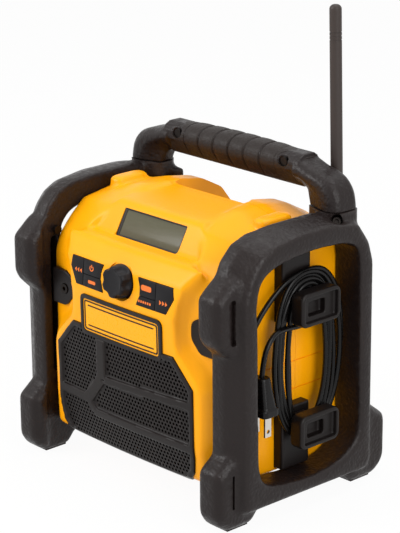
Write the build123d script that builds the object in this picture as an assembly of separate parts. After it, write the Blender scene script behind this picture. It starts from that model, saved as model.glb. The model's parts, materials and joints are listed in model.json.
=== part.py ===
from build123d import *
from math import cos, radians, sin, tan
import os

os.makedirs("parts", exist_ok=True)

# ---------------------------------------------------------------- driving dimensions (mm, Z up, front at -Y)
WALL = 2.5                # housing wall
CLEAR = 0.35              # gap round keys and drop-in pieces
SIDE_X = 100.0            # outer side wall of the housing
CREST_X = 56.0            # crest line of the two cheeks
SEAM_Y = 10.4             # parting plane between the front and rear housings
BOW_AXIS_Y = 1320.0       # the front faces are turned about a vertical line here
FLOOR_Z = 24.0            # underside of the housing

RING_FLAT_X = 113.0       # outer end of the ring's flat band
RIM_X = 130.0             # outermost rim of the side frames
FOOT_IN_X = 96.5          # inner and outer flanks of feet and bumpers
FOOT_OUT_X = 123.3
FOOT_BEVEL = 5.5
FOOT_Y = 94.0             # front face of the front feet
PAD_T = 2.0               # rubber foot pad thickness
PAD_PROUD = 1.0

PANEL_Z = 172.0           # centre of the sloping key panel
PANEL_Y = -82.6
PANEL_TILT = 5.2          # degrees, leaning back
KEY_TRAVEL = 1.0
KEY_PROUD = 0.4
KEY_DEPTH = 5.0
KEY_GAP = 0.6             # between neighbouring keys
KEY_INNER_X = 19.8
KEY_SPLIT_LEFT = 44.6     # between the outer and the inner keys
KEY_SPLIT_RIGHT = 41.1
KEY_OUTER_X = 60.5
KEY_TOP = 11.0            # above the panel centre
KEY_MID_LEFT = -1.0
KEY_MID_RIGHT = -3.0
KEY_BOTTOM = -11.0

WELL_R = 15.6             # tuning knob
KNOB_V = 2.9              # knob centre above the panel centre
KNOB_R = 13.8
KNOB_FACE_R = 12.6
KNOB_SEAT = -2.2          # back of the knob, below the panel face
KNOB_TOP = 8.5
KNOB_FLUTES = 6
SHAFT_R = 3.0
RUN_FIT = 0.07            # radial running fit

LENS_W = 73.0
LENS_H = 23.4
LENS_T = 1.6
LCD_FOOT = (-55.5, 199.3)  # (y, z) of the display window's lower and upper edges
LCD_HEAD = (-44.4, 219.1)

GRILLE_T = 2.6
GRILLE_SUNK = 0.6
RIB_PROUD = 1.8
BORDER = 4.6              # plain edge round the perforated fields
SPEAKER_X = 40.0
SPEAKER_Z = 76.0
SPEAKER_R = 34.0
SPEAKER_Y = -71.4         # front of the loudspeaker flanges

BADGE_HALF = 48.2
BADGE_Z = (120.5, 154.5)
BADGE_PROUD = 1.0
BADGE_T = 1.8

BOSS_Z = (132.5, 162.0)
BOSS_Y = (-72.5, -62.5)
BOSS_INNER_X = 69.8
BOSS_OUTER_X = 96.0
JACK_X = -81.0
JACK_Z = 147.0
JACK_R = 1.78
JACK_DEPTH = 14.0

HANDLE_Y = (32.0, 60.0)
GRIP_HALF = 79.0
GRIP_T = 2.5
GRIP_RIBS = 5
GRIP_RIB_PITCH = 17.6
GRIP_SCREW_X = 61.5

AERIAL_FOOT = (88.7, 68.0, 204.0)
AERIAL_LEAN = 1.6         # degrees toward the left going up
AERIAL_LEN = 179.5
AERIAL_R = 4.8

RAIL_X = 109.5            # outer face of the cord rail
RAIL_Y = (-13.0, 17.5)
RAIL_Z = ((28.6, 80.0), (150.0, 208.0))
HOOK_PAD_X = (117.0, 129.5)
HOOK_PAD_Y = (-12.0, 31.0)
HOOK_PAD_H = 27.5
HOOK_PAD_Z = (50.0, 150.0)      # lower edges of the two pads
HOOK_NECK_Y = (-4.0, 10.0)
HOOK_NECK_Z = ((66.5, 74.5), (157.5, 171.5))

CORD_D = 4.3
COIL_X = (109.9, 116.6)
COIL_Y = (-32.5, 52.4)
COIL_Z = (50.0, 195.0)
COIL_SLOT_Y = (-5.0, 14.0)
COIL_SLOT_Z = (65.8, 172.2)

BOARD_Y = -32.0           # front face of the main board
BOARD_HALF = 63.5
BAY_HALF = 42.0           # battery bay
BAY_Y = 14.4
BAY_Z = 168.0
BOX_HALF = 57.0           # rear storage box, inside
BOX_Y = 34.0
BOX_Z = (66.0, 144.0)
DOOR_HALF = 62.0
DOOR_Z = (60.0, 150.0)
DOOR_Y = (74.4, 77.4)
DOOR_GAP = 0.5
HINGE_Y = 74.9
HINGE_Z = 60.6
HINGE_PIN_R = 1.25
HINGE_BARREL_R = 2.6
HINGE_HALF = 50.0
LATCH_HALF = 9.0
LATCH_TRAVEL = 4.0

# ---------------------------------------------------------------- side-view outlines of the housing (y, z)
CREST = [(-68, 24), (-74.2, 32), (-74.2, 182), (-69.5, 190), (-60.5, 202), (-42, 218.5), (-8, 228.5),
         (18, 229.5), (44, 225), (66, 213.5), (78, 198), (78, 32), (70, 24)]
FLANK = [(-61, 24), (-66.4, 32), (-66.4, 176), (-61, 189), (-50.4, 201), (-36.6, 213), (-8, 217.4),
         (18, 217.5), (44, 213.5), (64, 204), (75, 190), (75, 32), (68, 24)]
MASK = [(-40, 26), (-72, 26), (-78, 31), (-81.6, 58), (-82.4, 116), (-83.0, 152), (-84.0, 158),
        (-83.6, 161), (-81.6, 182.5), (-79.8, 186.2), (-71.5, 197), (-67.5, 199.3), LCD_FOOT, LCD_HEAD,
        (-42.5, 222), (-38.5, 224), (SEAM_Y, 226), (SEAM_Y, 200), (-40, 185)]
# front-view outline of the raised mask, right half, from the bottom centre up (x, z)
MASK_HALF = [(84.5, 24), (86, 32), (86.7, 104), (83, 112), (64, 131.5), (61.8, 137), (61.5, 155), (64, 169),
             (68.5, 181), (68, 193), (61.5, 204), (55.5, 216), (51.6, 225), (49, 240)]
# what is cut away above the shelf and in front of the display (y, z)
VALLEY = [(-92, 199.3), LCD_FOOT, LCD_HEAD, (-42.5, 222), (-38.5, 224), (-38.5, 262), (-92, 262)]
GRILLE_HALF = [(62, 24.5), (72, 27), (78.5, 36), (80.4, 48), (80.4, 105.5), (59.6, 128)]
DECK_FRONT_HALF = 51.6    # half width of the top deck at the brow and at the seam
DECK_REAR_HALF = 42.5

# ring outlines (y, z): flat band and rim have the same number of corners so they can be lofted
RING_BAND = [(-80, 16), (-76, 11), (72, 11), (76, 16), (76, 188), (71, 207), (58, 222), (23, 230.5),
             (-17, 230.5), (-46, 228.5), (-60.5, 223.5), (-71.5, 213), (-77.5, 200), (-80, 186)]
RING_RIM = [(-71, 19), (-68, 16), (63, 15), (66.5, 19), (66, 188), (61, 204), (49, 221), (22, 226),
            (-13, 225.8), (-41, 221.5), (-53, 215), (-60.5, 206), (-66, 196), (-70.5, 183)]
OPENING = [(-57.2, 122), (-59.1, 192), (-46.1, 205.5), (-6, 210.8), (29, 209.7), (43.3, 206.6), (52.9, 199.4),
           (53.7, 126), (55, 51.4), (50.6, 41), (33.5, 28.8), (-1, 25.3), (-34.8, 29), (-50.2, 33.6),
           (-56.8, 47.4)]
OPENING_R = [0, 5, 9, 20, 30, 5, 5, 0, 9, 7, 20, 30, 20, 7, 9]
FOOT = [(-94, 15), (-89.3, 7.2), (-80.5, PAD_PROUD), (-56, PAD_PROUD), (-46, 14), (-46, 70), (-72, 70),
        (-79, 62), (-94, 50.4)]
BUMPER = [(-94, 158), (-90.7, 151.6), (-80, 141), (-66, 141), (-66, 205), (-77, 203), (-94, 189)]

HANDLE_SECTION = [(32, 255), (43, 241), (51, 241), (58, 246), (60, 250), (60, 262), (57.5, 267), (53, 270),
                  (41.5, 270), (36, 267.5), (32, 263)]
# the leg's section beside the grip and at its foot (y, share of the way from its inner to its outer side)
LEG_SECTION = [(32, 0.5), (43, 0), (51, 0), (58, 0.18), (60, 0.32), (60, 0.74), (58.5, 0.9), (54.5, 1), (40.5, 1),
               (36, 0.92), (32, 0.76)]
LEG_FOOT_SECTION = [(32, 0.55), (38.5, 0), (51, 0), (57, 0.14), (60, 0.34), (60, 0.74), (58.5, 0.92), (54.5, 1),
                    (39, 1), (35, 0.94), (32, 0.8)]
LEG_FOOT_Z = 230.5
LEG_STATIONS = [((GRIP_HALF, 242.3), (GRIP_HALF, 264.5)), ((81.5, 241), (90, 260.5)), ((82.5, 239.5), (100, 258.2)),
                ((83.5, 237), (110.5, 253.6)), ((85, 234), (118, 244.2)),
                ((86.8, LEG_FOOT_Z), (120.6, LEG_FOOT_Z))]   # (x, z) of the inner and outer sides


# ---------------------------------------------------------------- small builders
def area_of(points, radius=0):
    """A closed face with rounded corners; radius is one value or one per corner."""
    if isinstance(radius, (int, float)) and radius == 0:
        return make_face(Polyline(*points, close=True))
    return make_face(FilletPolyline(*points, radius=radius, close=True))


def along_x(points, x0, x1, radius=0):
    return extrude(Plane.YZ.offset(x0) * area_of(points, radius), amount=x1 - x0)


def along_y(points, y0, y1, radius=0):
    return extrude(Plane.XZ.offset(-y1) * area_of(points, radius), amount=y1 - y0)


def along_z(points, z0, z1, radius=0):
    return extrude(Plane.XY.offset(z0) * area_of(points, radius), amount=z1 - z0)


def block(x, y, z):
    """A box from its three spans."""
    size = [b - a for a, b in (x, y, z)]
    middle = [(a + b) / 2 for a, b in (x, y, z)]
    return Pos(*middle) * Box(*size)


def rod(start, direction, radius, length):
    """A cylinder from a point along a direction."""
    return extrude(Plane(origin=start, z_dir=direction) * Circle(radius), amount=length)


def flip(shape):
    return mirror(shape, about=Plane.YZ)


def pair(shape):
    """A right-hand piece and its mirror image."""
    return [shape, flip(shape)]


def pulled_in(points, depth):
    """The corner points of a polygon moved inward by depth."""
    count = len(points)
    turn = sum(points[i - 1][0] * points[i][1] - points[i][0] * points[i - 1][1] for i in range(count))
    side = 1 if turn > 0 else -1
    moved = []
    for i in range(count):
        before = (Vector(*points[i]) - Vector(*points[i - 1])).normalized()
        after = (Vector(*points[(i + 1) % count]) - Vector(*points[i])).normalized()
        normal_a = Vector(-before.Y, before.X) * side
        normal_b = Vector(-after.Y, after.X) * side
        shift = (normal_a + normal_b) * (depth / (1 + normal_a.dot(normal_b)))
        moved.append((points[i][0] + shift.X, points[i][1] + shift.Y))
    return moved


def mirrored_outline(half):
    """A closed outline from its right half, listed bottom to top."""
    return half + [(-x, z) for x, z in reversed(half)]


def bowed(points):
    """A side-view outline swept round the vertical bow axis."""
    face = Plane.YZ * area_of(points)
    axis = Axis((0, BOW_AXIS_Y, 0), (0, 0, 1))
    return revolve(face.rotate(axis, -4.6), axis=axis, revolution_arc=9.2)


def save(name, shape):
    solids = shape.solids() if hasattr(shape, "solids") else [s for piece in shape for s in piece.solids()]
    piece = solids[0] if len(solids) == 1 else Compound(children=list(solids))
    piece.label = name
    export_step(piece, os.path.join("parts", name + ".step"))
    print(f"{name:20s} solids {len(solids):2d}  volume {sum(s.volume for s in solids):12.1f}")


# ---------------------------------------------------------------- housing
def front_bow(depth, rise, low=20, high=200):
    """A thin bowed slab following the mask face between two depths below it (negative is proud)."""
    face_line = [p for p in MASK if p[0] < -66 and low < p[1] < high]
    return bowed([(y + depth, z) for y, z in face_line] + [(y + rise, z) for y, z in reversed(face_line)])


def body_form(inset=0.0):
    """The housing's outer shape, or the same shape pulled in by the wall."""
    wing = loft([Plane.YZ.offset(CREST_X) * area_of(pulled_in(CREST, inset)),
                 Plane.YZ.offset(SIDE_X - inset) * area_of(pulled_in(FLANK, inset))], ruled=True)
    core = along_x(pulled_in(CREST, inset), -CREST_X, CREST_X)
    above = along_x([(-70, 224 - inset), (-38.5, 224 - inset), (SEAM_Y, 226 - inset),
                     (SEAM_Y + 60, 228 - inset), (SEAM_Y + 60, 250), (-70, 250)], -CREST_X, CREST_X)
    front_x = DECK_FRONT_HALF + inset
    rear_x = DECK_REAR_HALF + inset
    deck_plan = [(front_x, -41), (rear_x, SEAM_Y), (rear_x, SEAM_Y + 8),
                 (-rear_x, SEAM_Y + 8), (-rear_x, SEAM_Y), (-front_x, -41)]
    core = core - (above & along_z(deck_plan, 210, 260))
    outline = pulled_in(mirrored_outline(MASK_HALF), inset)
    skirt = loft([Plane.XZ.offset(78) * area_of(outline), Plane.XZ.offset(66) * area_of(pulled_in(outline, -12.5))],
                 ruled=True) & block((-SIDE_X + inset, SIDE_X - inset), (-80, -60), (26 + inset, 204))
    mask = bowed(pulled_in(MASK, inset)) & (along_y(outline, -100, 40) + skirt)
    valley = bowed(pulled_in(VALLEY, -inset)) & along_y(pulled_in(outline, -2 * inset), -100, 40)
    deck_x = DECK_REAR_HALF - inset
    mask = mask & along_z([(-95, -95), (95, -95), (95, -42), (DECK_FRONT_HALF, -42), (deck_x, SEAM_Y),
                           (-deck_x, SEAM_Y), (-DECK_FRONT_HALF, -42), (-95, -42)], 0, 260)
    if inset:
        mask = mask & block((-100, 100), (-100, 40), (BADGE_Z[1] + 2, 260))
    form = core + wing + flip(wing) - valley + mask
    bay = block((-BAY_HALF - inset, BAY_HALF + inset), (BAY_Y - inset, 120), (BAY_Z - inset, 260))
    seat = 9.0 if inset else 0.0
    box = block((-BOX_HALF - seat, BOX_HALF + seat), (BOX_Y - inset, 120), (BOX_Z[0] - seat, BOX_Z[1] + seat))
    return form - bay - box


panel = Plane(origin=(0, PANEL_Y, PANEL_Z), x_dir=(1, 0, 0),
              z_dir=(0, -cos(radians(PANEL_TILT)), sin(radians(PANEL_TILT))))
panel_out = panel.z_dir

outer = body_form()
lug = Pos(84, 1, 0) * extrude(Plane.XY.offset(212) * RectangleRounded(15, 34, 7), amount=17.5)
lug = fillet(lug.edges().group_by(Axis.Z)[-1], 3)
outer = outer + lug + flip(lug)
shell = outer - body_form(WALL)

# pocket behind the grille so the baffle is one wall thick, with a flat ring for each loudspeaker
GRILLE_BACK = GRILLE_SUNK + GRILLE_T
shell = shell - (front_bow(GRILLE_BACK + WALL, 14) & block((-80, 80), (-90, -60), (36, 112)))
shell = shell - (front_bow(BADGE_T - BADGE_PROUD + WALL, 14) & block((-58, 58), (-90, -60), (120, 158)))
for x in (SPEAKER_X, -SPEAKER_X):
    spacer = rod((x, -77.5, SPEAKER_Z), (0, 1, 0), SPEAKER_R + 3, SPEAKER_Y + 77.5)
    shell = shell + (spacer & block((-81, 81), (-90, -60), (34, 114)))
# corner pillars for the housing screws, joined to the side walls and the floor
PILLARS = [(91.5, 42), (91.5, 186), (-91.5, 42), (-91.5, 186), (34, 30.5), (-34, 30.5)]
for px, pz in PILLARS:
    shell = shell + rod((px, -14, pz), (0, 1, 0), 6.2, 88)

# posts that carry the main board
for x, y, z in ((60, -72, 146), (-60, -72, 146), (58, -53.2, 201), (-58, -53.2, 201)):
    shell = shell + rod((x, y, z), (0, 1, 0), 3, BOARD_Y - y)

# ---------------------------------------------------------------- panel pieces
def key_area(corners, gap=0.0):
    """A key outline on the panel, grown by gap for its opening."""
    return panel * area_of(pulled_in(corners, -gap), 0)


def cluster(split, mid):
    """The outer column key, the upper and lower inner keys and the opening of the left cluster."""
    outer_edge, inner_edge = -split - KEY_GAP / 2, -split + KEY_GAP / 2
    column = [(-KEY_OUTER_X, 2.3), (-59, KEY_TOP), (outer_edge, KEY_TOP), (outer_edge, KEY_BOTTOM),
              (-53.0, KEY_BOTTOM)]
    upper = [(inner_edge, KEY_TOP), (-KEY_INNER_X - 1.0, KEY_TOP), (-KEY_INNER_X - 3.4, 3.8),
             (-KEY_INNER_X - 3.6, mid + KEY_GAP / 2), (inner_edge, mid + KEY_GAP / 2)]
    lower = [(inner_edge, mid - KEY_GAP / 2), (-KEY_INNER_X - 3.6, mid - KEY_GAP / 2), (-KEY_INNER_X, KEY_BOTTOM),
             (inner_edge, KEY_BOTTOM)]
    opening = [(-KEY_OUTER_X, 2.3), (-59, KEY_TOP), (-KEY_INNER_X - 1.0, KEY_TOP), (-KEY_INNER_X - 3.4, 3.8),
               (-KEY_INNER_X - 3.6, mid), (-KEY_INNER_X, KEY_BOTTOM), (-53.0, KEY_BOTTOM)]
    return column, upper, lower, opening


key_face = bowed(pulled_in(MASK, -KEY_PROUD))


def key(corners):
    """A key cap trimmed to the bowed panel, with a switch post behind it."""
    cap = extrude(panel.offset(-KEY_DEPTH) * area_of(corners), amount=KEY_DEPTH + 6) & key_face
    middle_u = sum(p[0] for p in corners) / len(corners)
    middle_v = sum(p[1] for p in corners) / len(corners)
    post = extrude(panel.offset(-KEY_DEPTH - 2) * Pos(middle_u, middle_v) * Circle(2), amount=2.5)
    return cap + post


def opposite(corners):
    return [(-u, v) for u, v in reversed(corners)]


left_keys = cluster(KEY_SPLIT_LEFT, KEY_MID_LEFT)
right_keys = [opposite(corners) for corners in cluster(KEY_SPLIT_RIGHT, KEY_MID_RIGHT)]
KEYS = {"seek_down_key": left_keys[0], "power_key": left_keys[1], "clock_key": left_keys[2],
        "mode_key": right_keys[1], "preset_key": right_keys[2], "seek_up_key": right_keys[0]}
for name, corners in KEYS.items():
    save(name, key(corners))
for corners in (left_keys[3], right_keys[3]):
    shell = shell - extrude(panel.offset(-12) * area_of(pulled_in(corners, -CLEAR)), amount=24)

knob_centre = panel * Pos(0, KNOB_V)
well = extrude(panel.offset(-2.6) * Pos(0, KNOB_V) * Circle(WELL_R), amount=12)
shell = shell - well - extrude(panel.offset(-12) * Pos(0, KNOB_V) * Circle(SHAFT_R + 1.2), amount=20)
knob_rings = [(KNOB_SEAT, KNOB_R), (KNOB_TOP - 0.8, KNOB_FACE_R), (KNOB_TOP, KNOB_FACE_R - 0.8)]
knob = loft([panel.offset(height) * Pos(0, KNOB_V) * Circle(radius) for height, radius in knob_rings], ruled=True)
for i in range(KNOB_FLUTES):
    angle = radians(360 / KNOB_FLUTES * (i + 0.5))
    at = Pos((KNOB_R + 3.6) * sin(angle), KNOB_V + (KNOB_R + 3.6) * cos(angle))
    knob = knob - extrude(panel.offset(0.4) * at * Circle(5.6), amount=12)
shaft_hole = extrude(panel.offset(KNOB_SEAT - 1) * Pos(0, KNOB_V) * Circle(SHAFT_R), amount=1 - KNOB_SEAT + 4)
save("tuning_knob", knob - shaft_hole)
shaft = extrude(panel.offset(-14) * Pos(0, KNOB_V) * Circle(SHAFT_R), amount=18)
save("encoder_shaft", shaft)
encoder = extrude(panel.offset(-16) * Pos(0, KNOB_V) * Rectangle(13, 13), amount=8)
encoder = encoder - extrude(panel.offset(-14.1) * Pos(0, KNOB_V) * Circle(SHAFT_R + RUN_FIT), amount=20)
save("tuning_encoder", encoder)

key_board = extrude(panel.offset(-17.6) * Rectangle(124, 26), amount=1.6)
domes = [extrude(panel.offset(-16) * Pos(sum(p[0] for p in c) / len(c), sum(p[1] for p in c) / len(c))
                 * Rectangle(6, 6), amount=16 - KEY_DEPTH - 2 - KEY_TRAVEL - 0.4) for c in KEYS.values()]
for dome in domes:
    key_board = key_board + dome
save("key_board", key_board)

# ---------------------------------------------------------------- display
rise = (Vector(0, *LCD_HEAD) - Vector(0, *LCD_FOOT)).normalized()
lcd_middle = (Vector(0, *LCD_HEAD) + Vector(0, *LCD_FOOT)) * 0.5
lcd = Plane(origin=lcd_middle, x_dir=(1, 0, 0), z_dir=Vector(1, 0, 0).cross(rise))
shell = shell - extrude(lcd.offset(-12) * RectangleRounded(LENS_W, LENS_H, 2), amount=16)
save("display_lens", extrude(lcd.offset(-1.2 - LENS_T) * RectangleRounded(LENS_W - 0.2, LENS_H - 0.2, 1.9),
                             amount=LENS_T))
save("display_module", extrude(lcd.offset(-8.8) * Rectangle(LENS_W + 6, LENS_H + 4), amount=4.4)
     + extrude(lcd.offset(-4.5) * Rectangle(LENS_W - 2, LENS_H - 2), amount=1.5))

# ---------------------------------------------------------------- grille, name plate, tongues, jack
grille_outline = mirrored_outline(GRILLE_HALF)
grille = front_bow(GRILLE_SUNK, GRILLE_BACK, 20, 155) & along_y(pulled_in(grille_outline, 0.2), -100, -60)
ribs = [[(-30, 129), (-19.5, 129), (-19.5, 88), (-30, 86)], [(-22, 83.5), (82, 88.7), (82, 95), (-20.5, 90)],
        [(-30, 88.5), (-20.5, 85), (-39, 62), (-49, 66.5)], [(-82, 63), (-44, 62), (-45, 69.5), (-82, 70)],
        [(-49, 66.5), (-40, 66.5), (-29, 56.5), (-33.5, 52)], [(-33.5, 59), (82, 59), (82, 52), (-33.5, 52)]]
rib_layer = front_bow(-RIB_PROUD, GRILLE_SUNK + 0.4, 20, 155) & along_y(pulled_in(grille_outline, 0.2), -100, -60)
border = rib_layer - along_y(pulled_in(grille_outline, BORDER), -100, -60)
grille = grille + border
for rib in ribs:
    grille = grille + (rib_layer & along_y(rib, -100, -60))
shell = shell - (front_bow(-6, GRILLE_BACK, 20, 155) & along_y(grille_outline, -100, -60))

badge_outline = [(-BADGE_HALF, BADGE_Z[0]), (BADGE_HALF, BADGE_Z[0]), (BADGE_HALF, BADGE_Z[1]),
                 (-BADGE_HALF, BADGE_Z[1])]
badge = front_bow(-BADGE_PROUD, BADGE_T - BADGE_PROUD, 20, 200) & along_y(badge_outline, -100, -60, 6)
badge_seat = front_bow(-8, BADGE_T - BADGE_PROUD, 20, 200) & along_y(badge_outline, -100, -60, 6)
shell = shell - badge_seat
grille = grille - badge_seat
save("speaker_grille", grille)
save("badge_plate", badge)

boss_outline = [(BOSS_OUTER_X, BOSS_Z[0]), (BOSS_OUTER_X, BOSS_Z[1]), (80, BOSS_Z[1]), (BOSS_INNER_X, 157),
                (BOSS_INNER_X, 143), (80, BOSS_Z[0])]
boss = along_y(boss_outline, *BOSS_Y, [1, 1, 9, 8, 8, 9])
shell = shell - boss - flip(boss)
save("right_boss", boss)
jack_front = BOSS_Y[0] - 0.6
jack_bore = rod((JACK_X, -80, JACK_Z), (0, 1, 0), JACK_R, 80 + jack_front + JACK_DEPTH)
jack = rod((JACK_X, jack_front, JACK_Z), (0, 1, 0), 4.0, JACK_DEPTH + 2) - jack_bore
save("left_boss", flip(boss) - rod((JACK_X, -80, JACK_Z), (0, 1, 0), 4.0, 20))
save("aux_jack", jack)

# ---------------------------------------------------------------- loudspeakers
flange = rod((SPEAKER_X, SPEAKER_Y, SPEAKER_Z), (0, 1, 0), SPEAKER_R + 3, 2)
bell = Plane(origin=(SPEAKER_X, SPEAKER_Y + 2, SPEAKER_Z), z_dir=(0, 1, 0))
basket = flange + loft([bell * Circle(SPEAKER_R), bell.offset(20) * Circle(20)])
basket = basket - loft([bell.offset(-2.1) * Circle(SPEAKER_R - 2), bell.offset(18.5) * Circle(18)])
save("speaker_baskets", pair(basket))
cone = loft([bell.offset(0.5) * Circle(SPEAKER_R - 4.2), bell.offset(14) * Circle(9)])
cone = cone - loft([bell.offset(0.5 - 0.8) * Circle(SPEAKER_R - 5.2), bell.offset(13.2) * Circle(8)])
save("speaker_cones", pair(cone + rod((SPEAKER_X, SPEAKER_Y + 15, SPEAKER_Z), (0, 1, 0), 9, 5.4)))
save("speaker_magnets", pair(rod((SPEAKER_X, SPEAKER_Y + 22, SPEAKER_Z), (0, 1, 0), 22, 12)))
for x in (SPEAKER_X, -SPEAKER_X):
    shell = shell - rod((x, -90, SPEAKER_Z), (0, 1, 0), SPEAKER_R - 2, 22)
# two grooves across each side wall, between the cord hooks
for z in (89.5, 112.5):
    groove = block((SIDE_X - 0.8, SIDE_X + 1), (-56, 54), (z - 0.5, z + 0.5))
    shell = shell - groove - flip(groove)

# ---------------------------------------------------------------- storage door, hinge and latch
def door_hole(grow, y0=DOOR_Y[0]):
    return block((-DOOR_HALF - grow, DOOR_HALF + grow), (y0, 90), (DOOR_Z[0] - grow, DOOR_Z[1] + grow))


hinge_run = rod((-DOOR_HALF - DOOR_GAP, HINGE_Y, HINGE_Z), (1, 0, 0), HINGE_BARREL_R + 0.6,
                2 * (DOOR_HALF + DOOR_GAP))
shell = shell - door_hole(DOOR_GAP) - hinge_run
shell = shell - block((-DOOR_HALF - DOOR_GAP, DOOR_HALF + DOOR_GAP), (HINGE_Y, 90),
                      (HINGE_Z - HINGE_BARREL_R - 0.6, 64))
for knuckle in pair(rod((HINGE_HALF + 3.4, HINGE_Y, HINGE_Z), (1, 0, 0), HINGE_BARREL_R + 0.7, 3.1)):
    shell = shell + knuckle
pin = rod((-HINGE_HALF - 6, HINGE_Y, HINGE_Z), (1, 0, 0), HINGE_PIN_R, 2 * HINGE_HALF + 12)
shell = shell - pin
save("door_hinge_pin", pin)

door = block((-DOOR_HALF, DOOR_HALF), DOOR_Y, DOOR_Z)
door = fillet(door.edges().filter_by(Axis.Y), 3)
door = door + rod((-HINGE_HALF, HINGE_Y, HINGE_Z), (1, 0, 0), HINGE_BARREL_R, 2 * HINGE_HALF)
door = door - rod((-HINGE_HALF - 1, HINGE_Y, HINGE_Z), (1, 0, 0), HINGE_PIN_R + RUN_FIT, 2 * HINGE_HALF + 2)
for end in pair(block((HINGE_HALF, HINGE_HALF + 7), (70, 80), (HINGE_Z - 4, HINGE_Z + 4.2))):
    door = door - end
latch_pocket = block((-LATCH_HALF - 0.4, LATCH_HALF + 0.4), (75.6, 80), (DOOR_Z[1] - 19, DOOR_Z[1] + 1))
door = door - latch_pocket
save("compartment_door", door)
latch = block((-LATCH_HALF, LATCH_HALF), (75.6, 77.2), (DOOR_Z[1] - 14, DOOR_Z[1] - 1))
latch = latch + block((-LATCH_HALF + 2, LATCH_HALF - 2), (77.2, 79), (DOOR_Z[1] - 11, DOOR_Z[1] - 8))
latch = latch + block((-LATCH_HALF + 1, LATCH_HALF - 1), (75.6, 76.4), (DOOR_Z[1] - 2, DOOR_Z[1] + 3))
save("door_latch", latch)
shell = shell - block((-LATCH_HALF, LATCH_HALF), (75.2, 76.8), (DOOR_Z[1] - 1, DOOR_Z[1] + 4))
seal_out = block((-BOX_HALF - 3, BOX_HALF + 3), (73.4, DOOR_Y[0]), (BOX_Z[0] - 1.6, BOX_Z[1] + 3))
seal_in = block((-BOX_HALF - 1, BOX_HALF + 1), (70, 80), (BOX_Z[0] - 0.4, BOX_Z[1] + 1))
save("door_seal", seal_out - seal_in)
shell = shell - (seal_out - seal_in)

# ---------------------------------------------------------------- side frames
def ring():
    band = along_x(RING_BAND, SIDE_X, RING_FLAT_X)
    slope = loft([Plane.YZ.offset(RING_FLAT_X) * area_of(RING_BAND), Plane.YZ.offset(RIM_X) * area_of(RING_RIM)],
                 ruled=True)
    hole = along_x(OPENING, SIDE_X - 1, RIM_X + 1, OPENING_R)
    return band + slope - hole


def bevelled(points):
    """A foot or bumper: a flat-sided core with bevelled flanks."""
    core_in, core_out = FOOT_IN_X + FOOT_BEVEL, FOOT_OUT_X - FOOT_BEVEL
    core = along_x(points, core_in, core_out)
    inner = pulled_in(points, FOOT_BEVEL)
    outward = loft([Plane.YZ.offset(core_out) * area_of(points), Plane.YZ.offset(FOOT_OUT_X) * area_of(inner)],
                   ruled=True)
    inward = loft([Plane.YZ.offset(FOOT_IN_X) * area_of(inner), Plane.YZ.offset(core_in) * area_of(points)],
                  ruled=True)
    return core + outward + inward


front_foot = bevelled(FOOT)
rear_foot = mirror(front_foot, about=Plane.XZ)
bumper = bevelled(BUMPER)
inner_x, outer_x = LEG_STATIONS[-1][0][0], LEG_STATIONS[-1][1][0]
leg_foot = [(inner_x + share * (outer_x - inner_x), y) for y, share in LEG_FOOT_SECTION]
collar = along_z(pulled_in(leg_foot, -0.8), 206, LEG_FOOT_Z) + along_z([(77, 53), (92, 46), (92, 57.4), (77, 57.4)],
                                                                      206, 224.5)
frame = ring() + (front_foot + rear_foot + bumper - along_x(OPENING, 90, 140, OPENING_R)) + collar
frame = frame - block((80, SIDE_X), (-80, 79), (0, 205)) - outer
# grooves pressed into the outer flanks of the bumper and the foot
frame = frame - block((FOOT_OUT_X - 2.0, 140), (-80.6, -75.0), (152.5, 188.5))
frame = frame - block((FOOT_OUT_X - 1.5, 140), (-79.6, -77.0), (20, 48))
# screw recess below the leg and pockets that lighten the two posts
screw_way = Vector(0.62, -0.6, 0.5).normalized()
frame = frame - rod(Vector(118.5, 36, 225) + screw_way * 12, screw_way * -1, 4.6, 19)
frame = frame - block((SIDE_X - 1, 122), (-69, -62), (70, 186)) - block((SIDE_X - 1, 122), (58.5, 72), (70, 186))
FRAME_SCREWS = [(-65.5, 60.0), (-65.5, 192.0), (65.0, 60.0), (65.0, 192.0)]
frame_screws = []
for y, z in FRAME_SCREWS:
    screw = rod((SIDE_X - WALL, y, z), (1, 0, 0), 1.8, 14) + rod((SIDE_X - WALL - 2, y, z), (1, 0, 0), 3.6, 2)
    frame_screws.append(screw)
foot_pads = []
for ys in ((-79, -58), (58, 79)):
    foot_pads.append(block((103, 116.8), ys, (0, PAD_T)))

# ---------------------------------------------------------------- handle
section_bar = along_x(pulled_in(HANDLE_SECTION, GRIP_T), -GRIP_HALF, GRIP_HALF)


def station(inner, outer, progress):
    """One cross-section of the leg, on the slanted plane through its inner and outer sides."""
    corners = []
    for (y0, share0), (y1, share1) in zip(LEG_SECTION, LEG_FOOT_SECTION):
        y, share = y0 + progress * (y1 - y0), share0 + progress * (share1 - share0)
        corners.append((inner[0] + share * (outer[0] - inner[0]), y, inner[1] + share * (outer[1] - inner[1])))
    return make_face(Polyline(*corners, close=True))


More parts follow.
